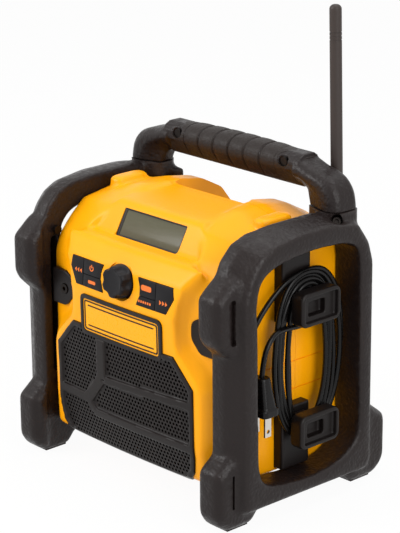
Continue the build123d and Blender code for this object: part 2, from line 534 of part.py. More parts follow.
last = len(LEG_STATIONS) - 1
leg = loft([station(*ends, i / last) for i, ends in enumerate(LEG_STATIONS)], ruled=True)
legs = leg + flip(leg)
handle = legs + section_bar
grip = along_x(HANDLE_SECTION, -GRIP_HALF, GRIP_HALF) - section_bar
for i in range(GRIP_RIBS + 1):
    x = (i - GRIP_RIBS / 2) * GRIP_RIB_PITCH
    ditch = along_x(pulled_in(HANDLE_SECTION, -2), x - 0.9, x + 0.9) - along_x(pulled_in(HANDLE_SECTION, 0.9),
                                                                              x - 2, x + 2)
    grip = grip - (ditch & block((-80, 80), (20, 70), (257, 280)))
handle_screws = []
for x in (-GRIP_SCREW_X, GRIP_SCREW_X):
    recess = rod((x, 28, 261), (0, 1, 0), 5.2, 9)
    grip = grip - recess
    handle = handle - recess - rod((x, 30, 261), (0, 1, 0), 1.7, 20)
    handle_screws.append(rod((x, 35, 261), (0, 1, 0), 3.5, 2) + rod((x, 36, 261), (0, 1, 0), 1.7, 13))
save("handle_bar", handle)
save("handle_grip", grip)
save("handle_screws", handle_screws)

# ---------------------------------------------------------------- aerial
lean = (-sin(radians(AERIAL_LEAN)), 0, cos(radians(AERIAL_LEAN)))
aerial = rod(AERIAL_FOOT, lean, AERIAL_R, AERIAL_LEN)
aerial = fillet(aerial.edges().group_by(Axis.Z)[-1], 3.8)
for step in (22, 25, 28):
    centre = Vector(*AERIAL_FOOT) + Vector(*lean) * (AERIAL_LEN - step)
    groove = rod(centre, lean, AERIAL_R + 1, 1.0) - rod(centre, lean, AERIAL_R - 0.4, 1.0)
    aerial = aerial - groove
base = Pos(86.4, 66.5, 0) * Cylinder(8.5, 24, align=(Align.CENTER, Align.CENTER, Align.MIN))
base = Pos(0, 0, 186) * base
base = base - rod(Vector(*AERIAL_FOOT) - Vector(*lean) * 0.0, lean, AERIAL_R, 60)
base = base & block((70, 99.5), (50, 76), (150, 240))
save("antenna_whip", aerial)
shell = shell - base - rod(AERIAL_FOOT, lean, AERIAL_R, 60)
save("antenna_base", base)

# ---------------------------------------------------------------- cord rail, hooks, gland, cord and plug
rails = []
for span in RAIL_Z:
    rail = block((SIDE_X, RAIL_X), RAIL_Y, span)
    rails.append(fillet(rail.edges().filter_by(Axis.Z).group_by(Axis.X)[-1], 2))


def hook(pad_z, neck_z):
    top = pad_z + HOOK_PAD_H
    middle_y = sum(HOOK_PAD_Y) / 2
    plate = extrude(Plane(origin=(HOOK_PAD_X[0], middle_y, pad_z + HOOK_PAD_H / 2), x_dir=(0, 1, 0), z_dir=(1, 0, 0))
                    * RectangleRounded(HOOK_PAD_Y[1] - HOOK_PAD_Y[0], HOOK_PAD_H, 6),
                    amount=HOOK_PAD_X[1] - HOOK_PAD_X[0])
    plate = fillet(plate.edges().group_by(Axis.X)[-1], 1.5)
    plate = plate - block((HOOK_PAD_X[1] - 4.5, 140), (HOOK_PAD_Y[0] + 4.5, HOOK_PAD_Y[1] - 3.5),
                          (pad_z + 3.5, top - 3.5))
    plate = plate - block((HOOK_PAD_X[0] + 2, 140), (middle_y - 10, middle_y + 8), (pad_z + 7, top - 9))
    neck = block((RAIL_X, HOOK_PAD_X[0]), HOOK_NECK_Y, neck_z)
    return plate + neck


save("cord_rail", rails)
save("lower_cord_hook", hook(HOOK_PAD_Z[0], HOOK_NECK_Z[0]))
save("upper_cord_hook", hook(HOOK_PAD_Z[1], HOOK_NECK_Z[1]))

GLAND = (105.5, -50.0, 118.0)
gland = rod(GLAND, (0, 0, 1), 4.6, 18) + block((SIDE_X, 105.5), (-53.5, -46.5), (120, 132))
gland = gland - rod((GLAND[0], GLAND[1], 122), (0, 0, 1), CORD_D / 2, 30)
save("cord_gland", gland)

LEAD = [(105.5, -50, 122), (105.7, -49.9, 135), (108.5, -44.5, 152), (110.5, -33.5, 168), (112, -19, 181),
        (112.8, -5, 188.5)]
TAIL = [(114.0, -14.5, 175), (118.4, -26, 164), (119.2, -35.5, 150), (118, -41.2, 133.5), (117, -42.8, 117)]


def cord_run(points):
    """A plain round cord through hand-placed points, every turn an arc tangent to its runs."""
    runs = [(Vector(*b) - Vector(*a)) for a, b in zip(points, points[1:])]
    radii = []
    for first, second in zip(runs, runs[1:]):
        half_turn = radians(first.get_angle(second)) / 2
        radii.append(0.45 * min(first.length, second.length) / tan(half_turn))
    print("cord radii", [round(r, 1) for r in radii])
    path = FilletPolyline(*points, radius=radii)
    disc = Plane(origin=points[0], z_dir=runs[0]) * Circle(CORD_D / 2)
    print("cord length", round(path.length, 1))
    return sweep(disc, path=path)


save("cord_lead", cord_run(LEAD))
save("cord_tail", cord_run(TAIL))


coil_plane = Plane(origin=(COIL_X[0], sum(COIL_Y) / 2, sum(COIL_Z) / 2), x_dir=(0, 1, 0), z_dir=(1, 0, 0))
coil = extrude(coil_plane * Ellipse((COIL_Y[1] - COIL_Y[0]) / 2, (COIL_Z[1] - COIL_Z[0]) / 2),
               amount=COIL_X[1] - COIL_X[0])
coil = coil - block((100, 130), COIL_SLOT_Y, COIL_SLOT_Z)
save("cord_coil", coil)

PLUG = (117.0, -42.8)
plug_body = loft([Plane.XY.offset(93.5) * Pos(*PLUG) * RectangleRounded(22, 14, 4),
                  Plane.XY.offset(117) * Pos(*PLUG) * RectangleRounded(12, 10, 4)])
plug_body = plug_body + extrude(Plane.XY.offset(87.5) * Pos(*PLUG) * RectangleRounded(24, 17.5, 4), amount=6)
blades = []
for side in (-6.35, 6.35):
    blade = block((PLUG[0] + side - 0.75, PLUG[0] + side + 0.75), (PLUG[1] - 3.2, PLUG[1] + 3.2), (70, 91))
    blades.append(blade - rod((PLUG[0] - 20, PLUG[1], 74.5), (1, 0, 0), 1.6, 40))
    plug_body = plug_body - blade
save("plug_body", plug_body)
save("plug_blades", blades)

# ---------------------------------------------------------------- frames out, housing screws, inner pieces
for screw in frame_screws:
    shell = shell - screw - flip(screw)
cut_frame = frame
for piece in frame_screws + foot_pads:
    cut_frame = cut_frame - piece
save("right_side_frame", cut_frame)
save("left_side_frame", flip(cut_frame))
save("frame_screws", frame_screws + [flip(s) for s in frame_screws])
save("foot_pads", foot_pads + [flip(p) for p in foot_pads])

housing_screws = []
for px, pz in PILLARS:
    screw = rod((px, -8, pz), (0, 1, 0), 2.0, 50) + rod((px, 40, pz), (0, 1, 0), 3.8, 3)
    housing_screws.append(screw)
    shell = shell - screw - rod((px, 43, pz), (0, 1, 0), 4.0, 40)
save("housing_screws", housing_screws)

front_half = block((-140, 140), (-120, SEAM_Y), (0, 300))
rear_half = block((-140, 140), (SEAM_Y, 120), (0, 300))
save("front_housing", shell & front_half)
save("rear_housing", shell & rear_half)

dock = block((-33, 33), (24, 70), (BAY_Z, BAY_Z + 7))
lip = block((27, 33), (24, 70), (BAY_Z + 7, BAY_Z + 15)) + block((22, 33), (24, 70), (BAY_Z + 11, BAY_Z + 15))
dock = dock + lip + flip(lip)
dock = dock + block((-18, 18), (24, 32), (BAY_Z + 7, BAY_Z + 18))
contacts = [block((x - 0.5, x + 0.5), (32, 46), (BAY_Z + 9, BAY_Z + 15)) for x in (-12, -4, 4, 12)]
save("battery_dock", dock)
save("battery_contacts", contacts)

save("transformer", block((49, 79), (-34, 8), (30, 64)) + block((44, 84), (-24, -2), (FLOOR_Z + WALL, 68)))
board = block((-88, -44), (-34, 8), (32, 33.6))
for x, y in ((-86, -32), (-46, -32), (-86, 6), (-46, 6)):
    board = board + Pos(x, y, (FLOOR_Z + WALL + 32) / 2) * Cylinder(1.8, 32 - FLOOR_Z - WALL)
save("power_board", board + block((-80, -66), (-30, -8), (33.6, 52)) + block((-60, -50), (-28, 0), (33.6, 46)))
board = block((-BOARD_HALF, BOARD_HALF), (BOARD_Y, BOARD_Y + 1.6), (140, 208)) + block((-30, -6), (-35, -32), (150, 176))
save("main_board", board + block((10, 34), (-36, -32), (160, 190)))
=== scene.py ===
import bmesh
import bpy
import json
from math import cos, pi, radians, sin
from mathutils import Matrix, Vector

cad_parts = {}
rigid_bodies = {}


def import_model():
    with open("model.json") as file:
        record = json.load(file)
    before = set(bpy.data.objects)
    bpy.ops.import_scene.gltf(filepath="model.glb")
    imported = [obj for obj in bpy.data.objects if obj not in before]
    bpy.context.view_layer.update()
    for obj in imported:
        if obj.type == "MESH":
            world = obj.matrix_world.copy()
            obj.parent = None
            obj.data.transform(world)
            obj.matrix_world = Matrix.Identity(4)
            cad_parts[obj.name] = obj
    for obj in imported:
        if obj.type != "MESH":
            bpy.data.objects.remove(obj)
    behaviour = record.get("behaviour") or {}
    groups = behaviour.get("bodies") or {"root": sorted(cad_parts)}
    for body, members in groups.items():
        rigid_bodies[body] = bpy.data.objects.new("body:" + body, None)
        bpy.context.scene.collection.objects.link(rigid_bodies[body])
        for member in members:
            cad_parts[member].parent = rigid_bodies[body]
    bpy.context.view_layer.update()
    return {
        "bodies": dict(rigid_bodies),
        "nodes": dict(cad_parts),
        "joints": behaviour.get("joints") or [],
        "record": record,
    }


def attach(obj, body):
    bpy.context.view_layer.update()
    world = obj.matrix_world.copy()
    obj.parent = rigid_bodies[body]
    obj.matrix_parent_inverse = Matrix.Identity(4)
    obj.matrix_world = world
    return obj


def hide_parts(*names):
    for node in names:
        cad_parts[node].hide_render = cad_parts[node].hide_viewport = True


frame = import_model()
nodes = frame["nodes"]
MM = 0.001


# ------------------------------------------------------------------ camera, floor and lamps
# the camera's way round the object, its rise and its roll, in degrees
CAMERA_TURN, CAMERA_RISE, CAMERA_ROLL = 47.25, 18.07, -0.41
# a point inside the object, and how far right of it, above it and away from it the camera stands, in mm
CAMERA_TARGET = (0, 3, 150)
CAMERA_RIGHT, CAMERA_UP, CAMERA_AWAY = -0.6, 16.7, 1704
# the camera's sensor, and its focal length against the height of the frame
SENSOR_MM = 36
FOCAL_PIXELS, FRAME_HEIGHT_PIXELS = 2113, 533
WHITE = "#FFFFFF"
FLOOR_WHITE = "#F4F4F2"
# metres
FLOOR_SIZE = 6
# how bright the white room is as a lamp, and where it is seen
ROOM_LIGHT, ROOM_SEEN = 0.46, 1.0
# how much of the floor's own shadow is hidden by its glow where it is seen
FLOOR_GLOW = 0.95
# the point that the lamps shine on, in metres
LAMP_TARGET = (0, 0, 0.15)
# name: place and size in metres, power in watts
LAMPS = {
    "window_left": ((-0.9, -1.5, 1.3), (1.2, 1.2), 26),
    "window_right": ((1.6, -0.3, 0.9), (0.9, 1.4), 16),
    "overhead": ((0.1, 0.3, 1.7), (1.3, 1.3), 11),
}


def aim_camera():
    azimuth, elevation, roll = radians(CAMERA_TURN), radians(CAMERA_RISE), radians(CAMERA_ROLL)
    back = Vector((sin(azimuth) * cos(elevation), -cos(azimuth) * cos(elevation), sin(elevation)))
    right = Vector((cos(azimuth), sin(azimuth), 0))
    up = back.cross(right)
    tilted_right = cos(roll) * right + sin(roll) * up
    tilted_up = -sin(roll) * right + cos(roll) * up
    place = Vector(CAMERA_TARGET) + tilted_right * CAMERA_RIGHT + tilted_up * CAMERA_UP + back * CAMERA_AWAY
    lens = bpy.data.cameras.new("studio_camera")
    lens.sensor_width = SENSOR_MM
    lens.lens = FOCAL_PIXELS / FRAME_HEIGHT_PIXELS * SENSOR_MM
    camera = bpy.data.objects.new("studio_camera", lens)
    bpy.context.collection.objects.link(camera)
    turn = Matrix((tilted_right, tilted_up, back)).transposed().to_4x4()
    camera.matrix_world = Matrix.Translation(place * MM) @ turn
    bpy.context.scene.camera = camera


def linear(code):
    """An sRGB hex colour as linear numbers."""
    parts = [int(code[i:i + 2], 16) / 255 for i in (1, 3, 5)]
    return tuple(c / 12.92 if c <= 0.04045 else ((c + 0.055) / 1.055) ** 2.4 for c in parts) + (1.0,)


def add(tree, kind, inputs=None, **settings):
    """Adds a node with its settings; an input takes a number or another node's output."""
    made = tree.nodes.new(kind)
    for name, value in settings.items():
        setattr(made, name, value)
    for name, value in (inputs or {}).items():
        if isinstance(value, bpy.types.NodeSocket):
            tree.links.new(value, made.inputs[name])
        else:
            made.inputs[name].default_value = value
    return made


def new_material(name):
    made = bpy.data.materials.new(name)
    made.use_nodes = True
    made.node_tree.nodes.clear()
    return made, made.node_tree


def area_lamp(name, place, size, power):
    """A rectangular lamp that shines on the middle of the object."""
    lamp = bpy.data.lights.new(name, "AREA")
    lamp.shape = "RECTANGLE"
    lamp.size, lamp.size_y = size
    lamp.energy = power
    holder = bpy.data.objects.new(name, lamp)
    bpy.context.collection.objects.link(holder)
    aim = (Vector(place) - Vector(LAMP_TARGET)).to_track_quat("Z", "Y")
    holder.matrix_world = Matrix.Translation(place) @ aim.to_matrix().to_4x4()


def shown_ray(tree):
    """1 for a ray that shows the background itself: seen, mirrored or through glass."""
    path = add(tree, "ShaderNodeLightPath").outputs
    direct = add(tree, "ShaderNodeMath", {0: path["Is Camera Ray"], 1: path["Is Glossy Ray"]},
                 operation="MAXIMUM")
    return add(tree, "ShaderNodeMath", {0: direct.outputs[0], 1: path["Is Transmission Ray"]},
               operation="MAXIMUM").outputs[0]


def studio():
    """A white room, a matt white floor and three soft lamps."""
    world = bpy.context.scene.world or bpy.data.worlds.new("studio")
    bpy.context.scene.world = world
    world.use_nodes = True
    tree = world.node_tree
    tree.nodes.clear()
    strength = add(tree, "ShaderNodeMapRange", {"Value": shown_ray(tree), "To Min": ROOM_LIGHT,
                                                "To Max": ROOM_SEEN})
    sky = add(tree, "ShaderNodeBackground", {"Color": linear(WHITE), "Strength": strength.outputs[0]})
    add(tree, "ShaderNodeOutputWorld", {"Surface": sky.outputs[0]})

    bpy.ops.mesh.primitive_plane_add(size=FLOOR_SIZE, location=(0, 0, 0))
    floor = bpy.context.object
    floor.name = "studio_floor"
    paper, tree = new_material("matt_white_paper")
    sheet = add(tree, "ShaderNodeBsdfDiffuse", {"Color": linear(FLOOR_WHITE)})
    glow = add(tree, "ShaderNodeEmission", {"Color": linear(WHITE), "Strength": 1.0})
    share = add(tree, "ShaderNodeMapRange", {"Value": shown_ray(tree), "To Min": 0.0, "To Max": FLOOR_GLOW})
    mix = add(tree, "ShaderNodeMixShader", {0: share.outputs[0], 1: sheet.outputs[0], 2: glow.outputs[0]})
    add(tree, "ShaderNodeOutputMaterial", {"Surface": mix.outputs[0]})
    floor.data.materials.append(paper)

    for name, (place, size, power) in LAMPS.items():
        area_lamp(name, place, size, power)


bpy.context.scene.view_settings.view_transform = "Standard"
aim_camera()
studio()


# ------------------------------------------------------------------ materials
PLASTIC_IOR = 1.52
# noise cells per metre of the slow drift in a moulding's colour
DRIFT_SCALE = 22.0
# how far corners have to stand out to take the painted highlight, where that highlight is full, and how much of
# it shows
HIGHLIGHT_START, HIGHLIGHT_FULL, HIGHLIGHT_SHARE = 0.51, 0.6, 0.55
# metres
DRAW_LINE_DEPTH = 0.00002


def moulded(name, colour, shade, grain_mm, grain_depth_mm, roughness, spread=0.06, gleam=0.3, corner_highlight=None):
    """Injection-moulded plastic or rubber: an even colour that drifts slowly, a pebble grain, and a painted
    highlight that makes corners paler where a highlight colour is given."""
    made, tree = new_material(name)
    where = add(tree, "ShaderNodeTexCoord").outputs["Object"]
    drift = add(tree, "ShaderNodeTexNoise", {"Vector": where, "Scale": DRIFT_SCALE, "Detail": 3.0})
    tint = add(tree, "ShaderNodeMix", {0: drift.outputs["Fac"], 6: linear(colour), 7: linear(shade)},
               data_type="RGBA")
    pebble = add(tree, "ShaderNodeTexVoronoi", {"Vector": where, "Scale": 1000 / grain_mm},
                 feature="SMOOTH_F1")
    speck = add(tree, "ShaderNodeTexNoise", {"Vector": where, "Scale": 500 / grain_mm, "Detail": 4.0})
    relief = add(tree, "ShaderNodeMath", {0: pebble.outputs["Distance"], 1: speck.outputs["Fac"]},
                 operation="ADD")
    bump = add(tree, "ShaderNodeBump", {"Height": relief.outputs[0], "Strength": 1.0,
                                        "Distance": grain_depth_mm * MM})
    gloss = add(tree, "ShaderNodeMapRange", {"Value": speck.outputs["Fac"], "From Min": 0.3, "From Max": 0.7,
                                             "To Min": roughness - spread, "To Max": roughness + spread})
    colour_out = tint.outputs[2]
    if corner_highlight:
        # painted highlight: corners that stand out are mixed toward the paler colour
        corner = add(tree, "ShaderNodeNewGeometry").outputs["Pointiness"]
        highlight_share = add(tree, "ShaderNodeMapRange", {"Value": corner, "From Min": HIGHLIGHT_START, "From Max": HIGHLIGHT_FULL,
                                               "To Max": HIGHLIGHT_SHARE})
        highlighted = add(tree, "ShaderNodeMix", {0: highlight_share.outputs[0], 6: colour_out, 7: linear(corner_highlight)},
                     data_type="RGBA")
        colour_out = highlighted.outputs[2]
    body = add(tree, "ShaderNodeBsdfPrincipled", {"Base Color": colour_out, "Roughness": gloss.outputs[0],
                                                  "Normal": bump.outputs[0], "IOR": PLASTIC_IOR,
                                                  "Specular IOR Level": gleam})
    add(tree, "ShaderNodeOutputMaterial", {"Surface": body.outputs[0]})
    return made


def metal(name, colour, roughness, line_mm):
    """Drawn or plated metal: fine lines along one way, gloss that varies with them."""
    made, tree = new_material(name)
    where = add(tree, "ShaderNodeTexCoord").outputs["Object"]
    stretch = add(tree, "ShaderNodeMapping", {"Vector": where,
                                              "Scale": (1000 / line_mm, 1000 / line_mm, 40.0)})
    lines = add(tree, "ShaderNodeTexNoise", {"Vector": stretch.outputs[0], "Scale": 1.0, "Detail": 2.0})
    gloss = add(tree, "ShaderNodeMapRange", {"Value": lines.outputs["Fac"], "To Min": roughness - 0.07,
                                             "To Max": roughness + 0.1})
    bump = add(tree, "ShaderNodeBump", {"Height": lines.outputs["Fac"], "Distance": DRAW_LINE_DEPTH})
    body = add(tree, "ShaderNodeBsdfPrincipled", {"Base Color": linear(colour), "Metallic": 1.0,
                                                  "Roughness": gloss.outputs[0], "Normal": bump.outputs[0]})
    add(tree, "ShaderNodeOutputMaterial", {"Surface": body.outputs[0]})
    return made


# A moulded finish is a name, a colour, the shade it drifts to, the grain's size and depth in mm, and a
# roughness. A metal is a name, a colour, a roughness and the distance of its lines in mm. The pebble of the
# frames and the grip is drawn coarser and deeper than a real one, as coarse as it needs to be to show.

# satin ABS housing: strong warm yellow, full in its own shade too
YELLOW = moulded("abs_housing_yellow", "#FFAD00", "#FFA400", 0.9, 0.012, 0.36, gleam=0.22)
# impact-grade frame plastic: a coarse pebble grain that glints, dark warm brown-black, with a painted highlight
# that makes its corners paler
BLACK = moulded("pebbled_frame_plastic", "#1E1614", "#171010", 2.3, 0.34, 0.42, spread=0.12, gleam=0.24,
                corner_highlight="#38312F")
# smoother black plastic of hooks, rail, tongues, plate border and display rim, with a soft sheen and a painted
# highlight on its corners
SATIN_BLACK = moulded("satin_black_plastic", "#171211", "#130F0E", 0.9, 0.02, 0.4, gleam=0.18, corner_highlight="#2C2725")
# overmoulded grip, soft to the touch, dull
GRIP = moulded("overmoulded_grip_rubber", "#211814", "#1A1310", 1.8, 0.26, 0.55, spread=0.1, gleam=0.27)
# silicone keys and knob, near black with a cold cast
SILICONE = moulded("silicone_key_rubber", "#131114", "#100E11", 0.7, 0.01, 0.42, gleam=0.18)
# aerial sleeve, smooth extruded rubber
SLEEVE = moulded("extruded_aerial_rubber", "#39302C", "#322A27", 0.9, 0.01, 0.5)
# cord jacket: glossy black vinyl
VINYL = moulded("vinyl_cord_jacket", "#0D0B0B", "#090808", 0.8, 0.01, 0.25, gleam=0.2)
# ink of the key marks: flat, warm orange with little shine
PRINT_ORANGE = moulded("printed_orange_ink", "#EE7830", "#E87028", 0.8, 0.005, 0.5)
# the bare plate: the housing's yellow, a little glossier and smoother
PLATE = moulded("bare_plate_yellow", "#FFAD00", "#FFA900", 0.8, 0.006, 0.3, gleam=0.22)
# plug blades and contacts: bright, warm grey with faint draw lines
NICKEL = metal("nickel_plated_brass", "#CFCBC4", 0.28, 0.4)
# screws and pins that are hidden: plain grey steel
STEEL = metal("zinc_plated_steel", "#B9B7B2", 0.35, 0.5)
# screws that are seen: blackened, with a dull oily shine
BLACKENED = metal("black_oxide_steel", "#2A2624", 0.42, 0.5)
# circuit boards: dark green lacquer
BOARD = moulded("solder_mask_green", "#1E5A34", "#184C2B", 1.0, 0.02, 0.4)
# loudspeaker cones: dull black paper
PAPER = moulded("coated_cone_paper", "#1B1A1A", "#151414", 1.2, 0.05, 0.8)
# loudspeaker baskets and transformer: dark grey lacquer
IRON = moulded("lacquered_iron", "#4A4642", "#3E3A37", 0.9, 0.03, 0.45)
# the display when it is off: a grey-green that hides its segments
LCD = moulded("liquid_crystal_grey_green", "#605E48", "#5A5843", 1.0, 0.001, 0.35)
# the display's window: so smooth that it mirrors the lamps, drawn in the grey-green of what lies behind it
LENS = moulded("acrylic_window", "#5A5846", "#565442", 1.0, 0.001, 0.14, gleam=0.2)
# finer black of the perforated front, a little glossy so that its webs catch the light, with a painted
# highlight on its corners
GRILLE_BLACK = moulded("grille_black_plastic", "#1A1412", "#161110", 1.0, 0.02, 0.36, gleam=0.2,
                       corner_highlight="#3A3331")

FINISHES = {
    YELLOW: "front_housing rear_housing compartment_door",
    BLACK: "left_side_frame right_side_frame handle_bar",
    SATIN_BLACK: "cord_rail upper_cord_hook lower_cord_hook left_boss right_boss speaker_grille battery_dock "
                 "door_latch",
    GRIP: "handle_grip foot_pads door_seal",
    SILICONE: "seek_down_key power_key clock_key mode_key preset_key seek_up_key tuning_knob",
    SLEEVE: "antenna_whip antenna_base",
    VINYL: "cord_gland cord_lead cord_coil cord_tail plug_body",
    PLATE: "badge_plate",
    NICKEL: "plug_blades battery_contacts",
    STEEL: "housing_screws door_hinge_pin encoder_shaft tuning_encoder",
    BLACKENED: "handle_screws frame_screws aux_jack",
    BOARD: "main_board key_board power_board",
    PAPER: "speaker_cones",
    IRON: "speaker_baskets speaker_magnets transformer",
    LCD: "display_module",
    LENS: "display_lens",
}
for finish, names in FINISHES.items():
    for name in names.split():
        nodes[name].data.materials.clear()
        nodes[name].data.materials.append(finish)


# ------------------------------------------------------------------ mesh helpers
def linked(name, data):
    """A new object in the scene, at the origin."""
    made = bpy.data.objects.new(name, data)
    bpy.context.collection.objects.link(made)
    return made


def solid(name, corners, faces):
    """A closed mesh object from corners in millimetres."""
    data = bpy.data.meshes.new(name)
    data.from_pydata([Vector(c) * MM for c in corners], [], faces)
    mesh = bmesh.new()
    mesh.from_mesh(data)
    bmesh.ops.remove_doubles(mesh, verts=mesh.verts, dist=1e-7)
    bmesh.ops.triangulate(mesh, faces=mesh.faces)
    bmesh.ops.recalc_face_normals(mesh, faces=mesh.faces)
    mesh.to_mesh(data)
    mesh.free()
    return linked(name, data)


def tube_walls(count, steps):
    """The quads that join each ring of count points to the next ring."""
    walls = []
    for k in range(steps):
        for i in range(count):
            j = (i + 1) % count
            walls.append((k * count + i, k * count + j, (k + 1) * count + j, (k + 1) * count + i))
    return walls


def capped(rings, name):
    """A closed solid through outlines with the same number of 3-D corners, with a flat face at each end."""
    count, last = len(rings[0]), len(rings) - 1
    caps = [tuple(range(count)), tuple(range(last * count, (last + 1) * count))]
    return solid(name, [p for ring in rings for p in ring], caps + tube_walls(count, last))


def between(near, far, name="cutter"):
    return capped([near, far], name)


def slab_x(points, x0, x1, name="cutter"):
    return between([(x0, y, z) for y, z in points], [(x1, y, z) for y, z in points], name)


def slab_y(points, y0, y1):
    return between([(x, y0, z) for x, z in points], [(x, y1, z) for x, z in points])


def slab_z(points, z0, z1):
    return between([(x, y, z0) for x, y in points], [(x, y, z1) for x, y in points])


def brick(x, y, z):
    """A box from its two limits along each axis."""
    return slab_x([(y[0], z[0]), (y[1], z[0]), (y[1], z[1]), (y[0], z[1])], x[0], x[1])


def smooth_shaded(item, sharp=35):
    """Smooth shading, except at edges sharper than an angle in degrees."""
    data = item.data
    data.polygons.foreach_set("use_smooth", [True] * len(data.polygons))
    if sharp:
        data.set_sharp_from_angle(angle=radians(sharp))
    return item


def skinned(rings, name):
    """A smooth tube of quads through rings of 3-D points, its two ends closed by fans."""
    count, last = len(rings[0]), len(rings) - 1
    points = [p for ring in rings for p in ring]
    faces = tube_walls(count, last)
    for k in (0, last):
        points.append(sum((Vector(p) for p in rings[k]), Vector()) / count)
        faces += [(k * count + i, k * count + (i + 1) % count, len(points) - 1) for i in range(count)]
    return smooth_shaded(solid(name, points, faces))


def disc(centre, axis, radius, count=32):
    """Points of a circle round an axis."""
    axis = Vector(axis).normalized()
    side = axis.orthogonal().normalized()
    up = axis.cross(side)
    return [Vector(centre) + radius * (cos(2 * pi * i / count) * side + sin(2 * pi * i / count) * up)
            for i in range(count)]


def turned(start, axis, profile, name="cutter", count=32):
    """A solid of revolution: profile is (distance along the axis, radius)."""
    axis = Vector(axis).normalized()
    rings = [disc(Vector(start) + axis * along, axis, radius, count) for along, radius in profile]
    return skinned(rings, name)


def rod(start, axis, radius, length):
    return turned(start, axis, [(0, radius), (length, radius)])


def drop(*objects):
    for item in objects:
        bpy.data.objects.remove(item)


def settled(item):
    """Applies an object's modifiers to its mesh."""
    graph = bpy.context.evaluated_depsgraph_get()
    data = bpy.data.meshes.new_from_object(item.evaluated_get(graph))
    item.modifiers.clear()
    item.data = data
    return item


def joined(item, other, operation="DIFFERENCE"):
    """Cuts, adds or keeps the overlap of two closed solids; the second is used up."""
    step = item.modifiers.new("bool", "BOOLEAN")
    step.object = other
    step.operation = operation
    step.solver = "MANIFOLD"
    settled(item)
    drop(other)
    return item


def softened(item, voxel_mm, rounds, keep=1.0):
    """Rounds every edge as a mould does: an even remesh, smoothing, then fewer faces where asked."""
    step = item.modifiers.new("even", "REMESH")
    step.mode = "VOXEL"
    step.voxel_size = voxel_mm * MM
    step = item.modifiers.new("round", "SMOOTH")
    step.factor = 0.5
    step.iterations = rounds
    if keep < 1:
        step = item.modifiers.new("fewer", "DECIMATE")
        step.ratio = keep
    settled(item)
    return smooth_shaded(item, None)


def bevelled(item, width_mm, segments=2):
    """Small rounded edges wherever two faces meet at more than 30 degrees."""
    step = item.modifiers.new("edge", "BEVEL")
    step.width = width_mm * MM
    step.segments = segments
    step.limit_method = "ANGLE"
    step.angle_limit = radians(30)
    step.use_clamp_overlap = True
    settled(item)
    return smooth_shaded(item, 40)


def copied(node, name):
    """A merged copy of a CAD node's mesh under its own name."""
    data = nodes[node].data.copy()
    data.name = name
    mesh = bmesh.new()
    mesh.from_mesh(data)
    bmesh.ops.remove_doubles(mesh, verts=mesh.verts, dist=1e-6)
    mesh.to_mesh(data)
    mesh.free()
    return linked(name, data)


def pulled_in(points, depth):
    """The corners of an outline moved inward by depth."""
    count = len(points)
    turn = sum(points[i - 1][0] * points[i][1] - points[i][0] * points[i - 1][1] for i in range(count))
    side = 1 if turn > 0 else -1
    moved = []
    for i in range(count):
        before = (Vector(points[i]) - Vector(points[i - 1])).normalized()
        after = (Vector(points[(i + 1) % count]) - Vector(points[i])).normalized()
        first = Vector((-before.y, before.x)) * side
        second = Vector((-after.y, after.x)) * side
        shift = (first + second) * (depth / (1 + first.dot(second)))
        moved.append((points[i][0] + shift.x, points[i][1] + shift.y))
    return moved


def rounded(points, radius, steps=6):
    """An outline with eased corners: each curve starts radius away, or just short of half a side at most."""
    made = []
    for i in range(len(points)):
        corner = Vector(points[i])
        back, ahead = Vector(points[i - 1]) - corner, Vector(points[(i + 1) % len(points)]) - corner
        start = corner + back.normalized() * min(radius, back.length * 0.49)
        end = corner + ahead.normalized() * min(radius, ahead.length * 0.49)
        for k in range(steps + 1):
            t = k / steps
            made.append(tuple((1 - t) ** 2 * start + 2 * t * (1 - t) * corner + t ** 2 * end))
    return made


def place(item, finish, body, stands_for, slot):
    """Gives a finished piece its material and its body, and hides the nodes it stands for; slot is not used."""
    item.data.materials.clear()
    item.data.materials.append(finish)
    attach(item, body)
    if stands_for:
        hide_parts(*stands_for)
    return item


def mirrored(item, name):
    """The left-hand copy of a right-hand piece."""
    data = item.data.copy()
    data.name = name
    mesh = bmesh.new()
    mesh.from_mesh(data)
    for vertex in mesh.verts:
        vertex.co.x = -vertex.co.x
    bmesh.ops.reverse_faces(mesh, faces=mesh.faces)
    mesh.to_mesh(data)
    mesh.free()
    return linked(name, data)


# ------------------------------------------------------------------ outlines, in millimetres
# the front is bowed round an upright axis far behind it, over this many degrees to each side
BOW_AXIS_Y = 1320.0
BOW_HALF_ANGLE = 4.6
# where the front and rear shells meet, and half the fine line that shows there
SEAM_Y = 10.4
SEAM_HALF_GAP = 0.12
# the middle of the name plate, as x and z
PLATE_CENTRE = (0, 137.5)
# the housing's half width at its crest and at its sides
CREST_X = 56.0
SIDE_X = 100.0
WALL = 2.5
# the slope that carries the display, from its foot to its head: y and z
LCD_FOOT, LCD_HEAD = (-55.5, 199.3), (-44.4, 219.1)
# side outlines, as y and z, of the housing at its crest and at its flanks, and of the raised mask on its front
CREST = [(-68, 24), (-74.2, 32), (-74.2, 182), (-69.5, 190), (-60.5, 202), (-42, 218.5), (-8, 228.5),
         (18, 229.5), (44, 225), (66, 213.5), (78, 198), (78, 32), (70, 24)]
FLANK = [(-61, 24), (-66.4, 32), (-66.4, 176), (-61, 189), (-50.4, 201), (-36.6, 213), (-8, 217.4),
         (18, 217.5), (44, 213.5), (64, 204), (75, 190), (75, 32), (68, 24)]
MASK = [(-40, 26), (-72, 26), (-78, 31), (-81.6, 58), (-82.4, 116), (-83.0, 152), (-84.0, 158),
        (-83.6, 161), (-81.6, 182.5), (-79.8, 186.2), (-71.5, 197), (-67.5, 199.3), LCD_FOOT, LCD_HEAD,
        (-42.5, 222), (-38.5, 224), (SEAM_Y, 226), (SEAM_Y, 200), (-40, 185)]
# the right half of the mask's outline seen from the front, as x and z
MASK_HALF = [(84.5, 24), (86, 32), (86.7, 104), (83, 112), (64, 131.5), (61.8, 137), (61.5, 155), (64, 169),
             (68.5, 181), (68, 193), (61.5, 204), (55.5, 216), (51.6, 225), (49, 240)]
